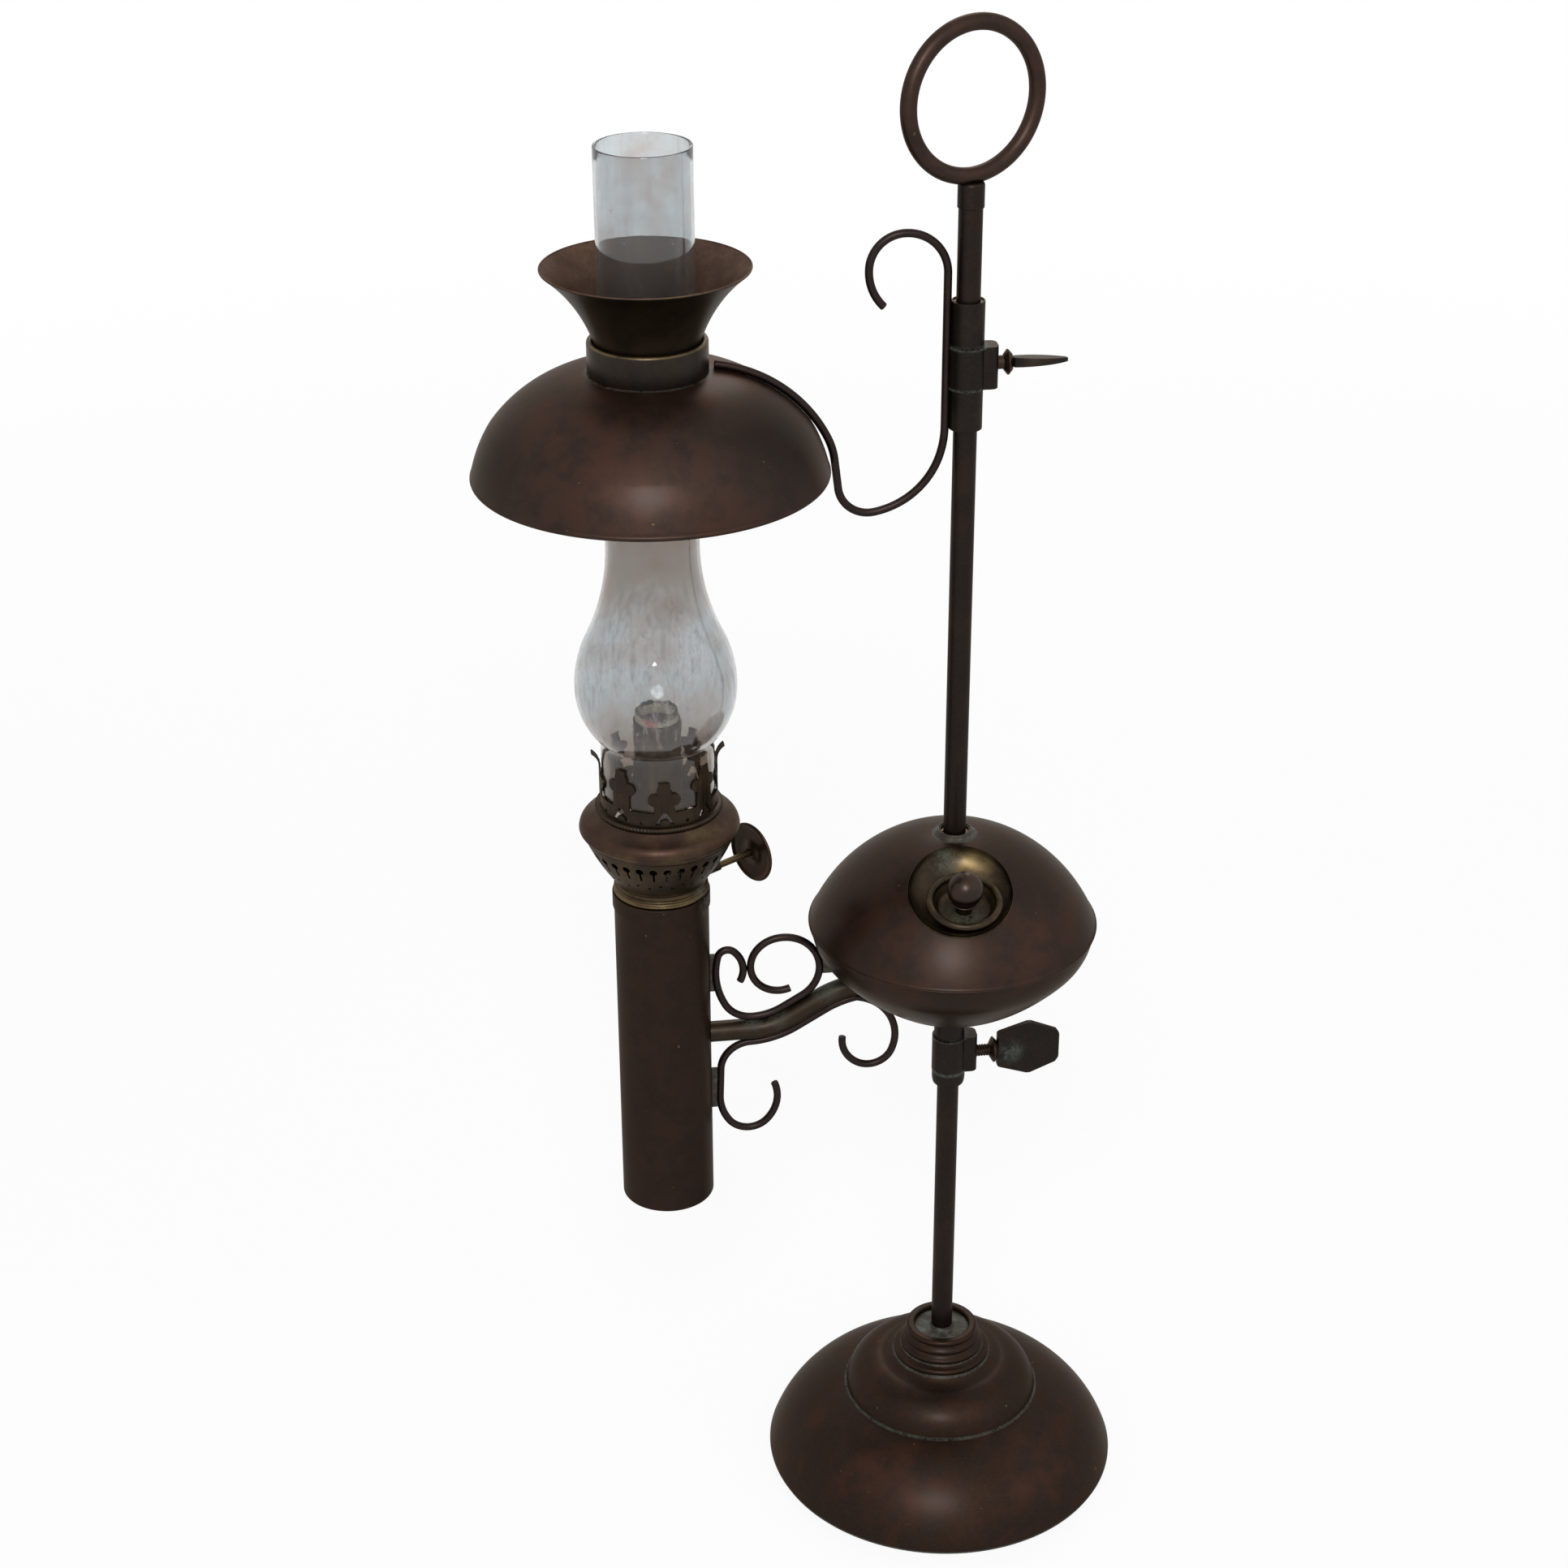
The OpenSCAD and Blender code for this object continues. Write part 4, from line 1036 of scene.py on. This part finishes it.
class LAMP_OT_burner(LampOperator):
    """Turn the burner tube with its collar, and finish the pierced basket and the flange"""

    bl_idname = "lamp.burner"
    bl_label = "Burner"

    def execute(self, context):
        tube = outline(
            (22, 174.3), (22, 332.8, 20), (22.65, 333.3, 0.6, 5),
            (22.7, 333.6), (22.7, 340.2, 2), round_arc((22.2, 340.4), 0.5, -10, 100, 6),
            (21.25, 341), (21.2, 338), (21.2, 174.4), (21.6, 174),
        )
        body = turned("burner_body", tube, BURNER)
        dress(body, "burner tube copper", "font", "burner_tube")
        paint_nodes("dark copper", "burner_tube_floor", "inner_air_tube")
        beads = outline(
            (20.5, 332), (21.15, 332), (21.15, 340.9), (21.5, 341.4, 0.5, 4),
            round_arc((21.5, 342), 0.7, -70, 80, 8), (21.25, 343.2), (21.3, 343.9, 0.6, 4),
            round_arc((21.2, 344.4), 0.6, -50, 80, 7), (20.95, 345.3), (20.9, 346.7), (20.5, 347),
        )
        collar = turned("burner_collar", beads, BURNER)
        dress(collar, "aged brass", "font", "tube_collar")
        for name, node in ("pierced_basket", "burner_basket"), ("pierced_crown", "chimney_crown"):
            dress_copy(name, "basket brass", "font", "aged_brass", node, crease=32)
        flange = outline(
            (27.05, 383.3), (27.05, 383.7), (28.4, 383.95), (33.9, 379.7, -22, 14),
            (36.75, 375.6, 5.4, 14), (36.2, 373.1, 2.2, 8), (35.3, 372.9), (35.0, 372.2),
            (34.95, 371.5),
        )
        gallery = turned("gallery", wall(flange, -BRASS_SHEET), BURNER, crease=60)
        dress(gallery, "flange brass", "font", "gallery_flange")
        depth, count = sizes().knurl_depth / MM, sizes().knurls

        def knurl(t, r, z):
            """Slanting ridges: the radius dips with cos(count t + 2 z) on the outer side."""
            return -depth * (r > 27.6) * (0.5 + 0.5 * np.cos(count * t + 2 * z)), 0 * z

        band = outline(
            (27.02, 384.05), (28.0, 384.05), round_arc((28.15, 385.3), 1.22, -80, 95, 14),
            (27.02, 386.75),
        )
        ring = turned("knurled_ring", band, BURNER, segments=count * 8, shift=knurl, crease=60)
        dress(ring, "basket brass", "font", "gallery_ring")
        paint_nodes("basket brass", "burner_deck", "shaft_bearing", "shaft_hanger")
        return {"FINISHED"}


class LAMP_OT_wick(LampOperator):
    """Make the wick tubes, the wick with its ragged edge, and the knob that raises it"""

    bl_idname = "lamp.wick"
    bl_label = "Wick and its knob"

    def execute(self, context):
        def burnt(t, r, z):
            """The wick's top edge dips by up to a millimetre and a half as it burnt unevenly."""
            dip = 0.7 + 0.4 * np.sin(5 * t + 1) + 0.25 * np.sin(13 * t) + 0.15 * np.sin(31 * t + 2)
            return 0 * r, -dip * (z > 432)

        sock = outline(
            (8.5, 262), (9.7, 262), (9.7, 433, 6),
            round_arc((9.1, 432.9), 0.6, 0, 180, 8), (8.5, 432.9), (8.5, 262, 6),
        )
        wick = turned("cotton_wick", sock, BURNER, shift=burnt)
        dress(wick, "wick cotton", "wick", "wick")
        paint_nodes("wick tube", "outer_wick_tube")
        paint_nodes("steel", "spur_wheels")
        paint_nodes("aged brass", "wick_shaft")
        dress_copy(
            "knob_disc", "knob brass", "wick_knob", "aged_brass", "wick_knob_disc", crease=40
        )
        return {"FINISHED"}


class LAMP_OT_glass(LampOperator):
    """Blow the chimney"""

    bl_idname = "lamp.glass"
    bl_label = "Glass chimney"

    def execute(self, context):
        foot_r, waist_z, belly_r, belly_z, flank = 25.9, 419, 36.7, 445.0, 53.7
        top_r, hollow_z, thickness = 20.9, 513.0, 1.2
        # radii of the hollow that meets flank and top without a corner, and of the lower belly
        side, rise = top_r - (belly_r - flank), hollow_z - belly_z
        hollow = (side**2 + rise**2 - flank**2) / (2 * (flank - side))
        share = flank / (flank + hollow)
        meet_r, meet_z = belly_r - flank + share * (side + hollow), belly_z + share * rise
        low = ((belly_z - waist_z) ** 2 + (belly_r - foot_r) ** 2) / (2 * (belly_r - foot_r))
        outer = outline(
            (foot_r, 384.4), (foot_r, waist_z, 3), (belly_r, belly_z, -low, 30),
            (meet_r, meet_z, -flank, 40), (top_r, hollow_z, hollow, 30),
            (top_r, hollow_z), (top_r, 688.6, 6),
        )
        wave = sizes().glass_waves / MM

        def wander(t, r, z):
            """The blown wall wanders slowly round and along the chimney."""
            free = np.clip((z - 400) / 30, 0, 1)
            swell = 1 + 0.5 * np.sin(2 * t + z / 60) + 0.5 * np.sin(3 * t - z / 45)
            return -free * wave * swell, 0 * z

        glass = turned("chimney", wall(outer, thickness), BURNER, shift=wander, crease=70)
        dress(glass, "chimney glass", "chimney", "chimney_glass")
        return {"FINISHED"}


class LAMP_OT_shade(LampOperator):
    """Turn the shade, its neck ring and the flared collar above, and bend the shade's arm"""

    bl_idname = "lamp.shade"
    bl_label = "Shade"

    def execute(self, context):
        corner, rim = np.array((74.2, 559.5)), np.array((76.6, 551.1))
        bell = arc((25.1, 592.1), corner, 63.5, 60)[:-8]
        t = np.linspace(0, 1, 20)[:, None]
        # the bend above the rim: (1 - t)^2 p + 2 t (1 - t) corner + t^2 rim
        bend = (1 - t) ** 2 * bell[-1] + 2 * t * (1 - t) * corner + t**2 * rim
        dome = outline(
            bell, bend, rim, (77.6, 547.6, 1.5),
            round_arc((76.7, 546.4), 1.3, 45, -140, 12),
        )
        shade = turned("shade_bell", wall(dome, -BRASS_SHEET), BURNER, crease=60)
        dress(shade, "shade copper", "shade", "shade_dome")
        roll = outline(
            (26, 590.7), (26, 603.4), round_arc((24.5, 605), 1.5, 0, 180, 16), (23.2, 604),
            (22.7, 601, -4, 6),
        )
        neck = turned("shade_neck", wall(roll, BRASS_SHEET), BURNER, crease=60)
        dress(neck, "neck ring brass", "shade", "shade_neck_ring")
        flare = outline(
            (22.6, 599.4), (22.6, 604, 1), (22.6, 604.5), (44.8, 637.1, 66, 40),
            round_arc((44.6, 637.5), 0.35, -30, 60, 4),
        )
        funnel = turned("shade_funnel", wall(flare, BRASS_SHEET), BURNER, crease=60)
        dress(funnel, "flare copper, outside", "shade", "shade_flare")
        funnel.data.materials.append(finish("flare copper, inside"))
        for face in funnel.data.polygons:
            face.material_index = int(face.normal.z > 0.02)
        tube = turned("shade_sleeve_tube", sleeve(559, 616.6), segments=SLIM)
        dress(tube, "dark copper", "shade", "shade_sleeve")
        dress_copy(
            "shade_clamp", "dark copper", "shade", "dark_copper", "shade_clamp_block", bevel=0.35
        )
        path = two_way_path(HOOK_START, 90, HOOK_PATH, SHADE_ARM_PATH)
        arm = bent_wire("shade_wire", path, sizes().wire_radius / MM)
        dress(arm, "bent wire", "shade", "shade_arm")
        return {"FINISHED"}


class LAMP_OT_screws(LampOperator):
    """Make the two thumbscrews and the split bushes that they press"""

    bl_idname = "lamp.screws"
    bl_label = "Thumbscrews"

    def execute(self, context):
        depth = sizes().thread_depth / MM
        pitch = 1.3

        def thread(t, r, z):
            """The radius dips with a wave in z / pitch - t / turn."""
            wave = np.abs(((z / pitch - t / TURN) % 1.0) * 2 - 1)
            return -depth * (z > 13.8) * (z < 19.6) * (r > 2.9) * wave, 0 * z

        for part, z, shoulder, rim, shift in (
            ("font", 238.0, 20.0, 6.3, thread),
            ("shade", 588.0, 16.2, 5.6, None),
        ):
            step = 0.16 if shift else 2
            shank = outline(
                (0, 6.6), (2.7, 6.6), (3, 6.9), (3, shoulder - 0.2, step),
                (3.6, shoulder), (rim - 0.3, shoulder + 1.4),
                round_arc((rim - 0.5, shoulder + 1.8), 0.5, -30, 60, 6),
                (rim - 1.8, shoulder + 3.6), (rim - 2.2, shoulder + 3.8), (0, shoulder + 3.8),
            )
            body, node = f"{part}_thumbscrew", f"{part}_screw"
            screw = turned(
                f"{body}_shank", shank, Matrix.Translation((0, 0, z)) @ turn_about("Y", 90),
                closed=False, segments=SLIM, shift=shift, crease=50,
            )
            dress(screw, "ring copper", body, node)
        for part in ("font", "shade"):
            body, node = f"{part}_thumbscrew", f"{part}_screw_wing"
            wing = from_node(f"{body}_wing", node, bevel=0.6, segments=3)
            dress(wing, "thumbscrew", body, node)
        paint_nodes("aged brass", "font_bush", "shade_bush")
        return {"FINISHED"}


FLOOR_SIDE = 12000.0
LAMP_AIM = Vector((-0.05, 0, 0.35))
CAMERA_PLACE = (-0.24707, -1.18673, 1.00184)
CAMERA_TURN = (8.0, 27.0288, -0.2044)  # to the right of +y, down and round, in degrees
CAMERA_LENS = 67.338
WHITE = (1, 1, 1, 1)


class LAMP_OT_stage(LampOperator):
    """Lay the floor and set the lamps, the surroundings and the camera"""

    bl_idname = "lamp.stage"
    bl_label = "Stage"

    def execute(self, context):
        self.floor()
        self.world()
        self.lamps()
        self.camera()
        context.scene.view_settings.view_transform = "Standard"
        return {"FINISHED"}

    def floor(self):
        side = FLOOR_SIDE
        corners = [(-side, -side, 0), (side, -side, 0), (side, side, 0), (-side, side, 0)]
        floor = new_piece("floor", corners, [[0, 1, 2, 3]])
        f = Finish("pale floor")
        lit = f.surface(Base_Color=(0.86, 0.86, 0.86, 1), Roughness=0.9, Specular_IOR_Level=0.1)
        white = f.node("ShaderNodeEmission", {"Color": WHITE, "Strength": 1.0})
        # white to the eye, and wholly so far away, where it would show a horizon
        bare = f.seen() * (0.88 + f.from_axis(0).step(0.6, 2.5) * 0.12)
        floor.data.materials.append(f.done(f.shader_mix(bare, lit, white)))

    def world(self):
        world = bpy.data.worlds.new("studio")
        bpy.context.scene.world = world
        world.use_nodes = True
        f = Nodes(world.node_tree)
        grey, white = (
            f.node("ShaderNodeBackground", {"Color": WHITE, "Strength": strength})
            for strength in (0.55, 1.0)
        )
        f.node("ShaderNodeOutputWorld", {"Surface": f.shader_mix(f.seen(), grey, white)})

    def lamps(self):
        for name, place, size, power in (
            ("key", (-0.38, -1.85, 1.8), 0.8, 30),
            ("fill", (1.6, -1.0, 1.5), 2.4, 5),
            ("back", (0.3, 1.7, 1.6), 0.9, 8),
        ):
            lamp = bpy.data.lights.new(name, "AREA")
            lamp.shape = "DISK"
            lamp.size = size
            lamp.energy = power
            obj = linked(name, lamp)
            obj.location = place
            aim = LAMP_AIM - Vector(place)
            obj.rotation_euler = aim.to_track_quat("-Z", "Y").to_euler()

    def camera(self):
        azimuth, tilt, roll = (math.radians(a) for a in CAMERA_TURN)
        right = Vector((math.cos(azimuth), -math.sin(azimuth), 0))
        level = Vector((math.sin(azimuth), math.cos(azimuth), 0))
        ahead = level * math.cos(tilt) - Vector((0, 0, math.sin(tilt)))
        up = right.cross(ahead)
        across = right * math.cos(roll) + up * math.sin(roll)
        above = up * math.cos(roll) - right * math.sin(roll)
        data = bpy.data.cameras.new("camera")
        data.sensor_width = 36
        data.lens = CAMERA_LENS
        data.clip_end = 50
        camera = linked("camera", data)
        turn = Matrix((across, above, -ahead)).transposed().to_4x4()
        camera.matrix_world = Matrix.Translation(CAMERA_PLACE) @ turn
        bpy.context.scene.camera = camera


class LAMP_PT_panel(bpy.types.Panel):
    bl_idname = "LAMP_PT_panel"
    bl_label = "Student lamp"
    bl_space_type = "VIEW_3D"
    bl_region_type = "UI"
    bl_category = "Student lamp"

    def draw(self, context):
        settings = context.scene.student_lamp
        for group in (settings.sizes, settings.colours):
            box = self.layout.box()
            for name in group.__annotations__:
                box.prop(group, name)
        for operator in OPERATORS:
            self.layout.operator(operator.bl_idname)


OPERATORS = (
    LAMP_OT_base,
    LAMP_OT_stem,
    LAMP_OT_font,
    LAMP_OT_filler,
    LAMP_OT_arm,
    LAMP_OT_burner,
    LAMP_OT_wick,
    LAMP_OT_glass,
    LAMP_OT_shade,
    LAMP_OT_screws,
    LAMP_OT_stage,
)
CLASSES = (LampSizes, LampColours, LampSettings, *OPERATORS, LAMP_PT_panel)


def register():
    for cls in CLASSES:
        bpy.utils.register_class(cls)
    bpy.types.Scene.student_lamp = PointerProperty(type=LampSettings)


def unregister():
    del bpy.types.Scene.student_lamp
    for cls in reversed(CLASSES):
        bpy.utils.unregister_class(cls)


def main():
    register()
    for operator in OPERATORS:
        group, name = operator.bl_idname.split(".")
        getattr(getattr(bpy.ops, group), name)()


if __name__ == "__main__":
    main()
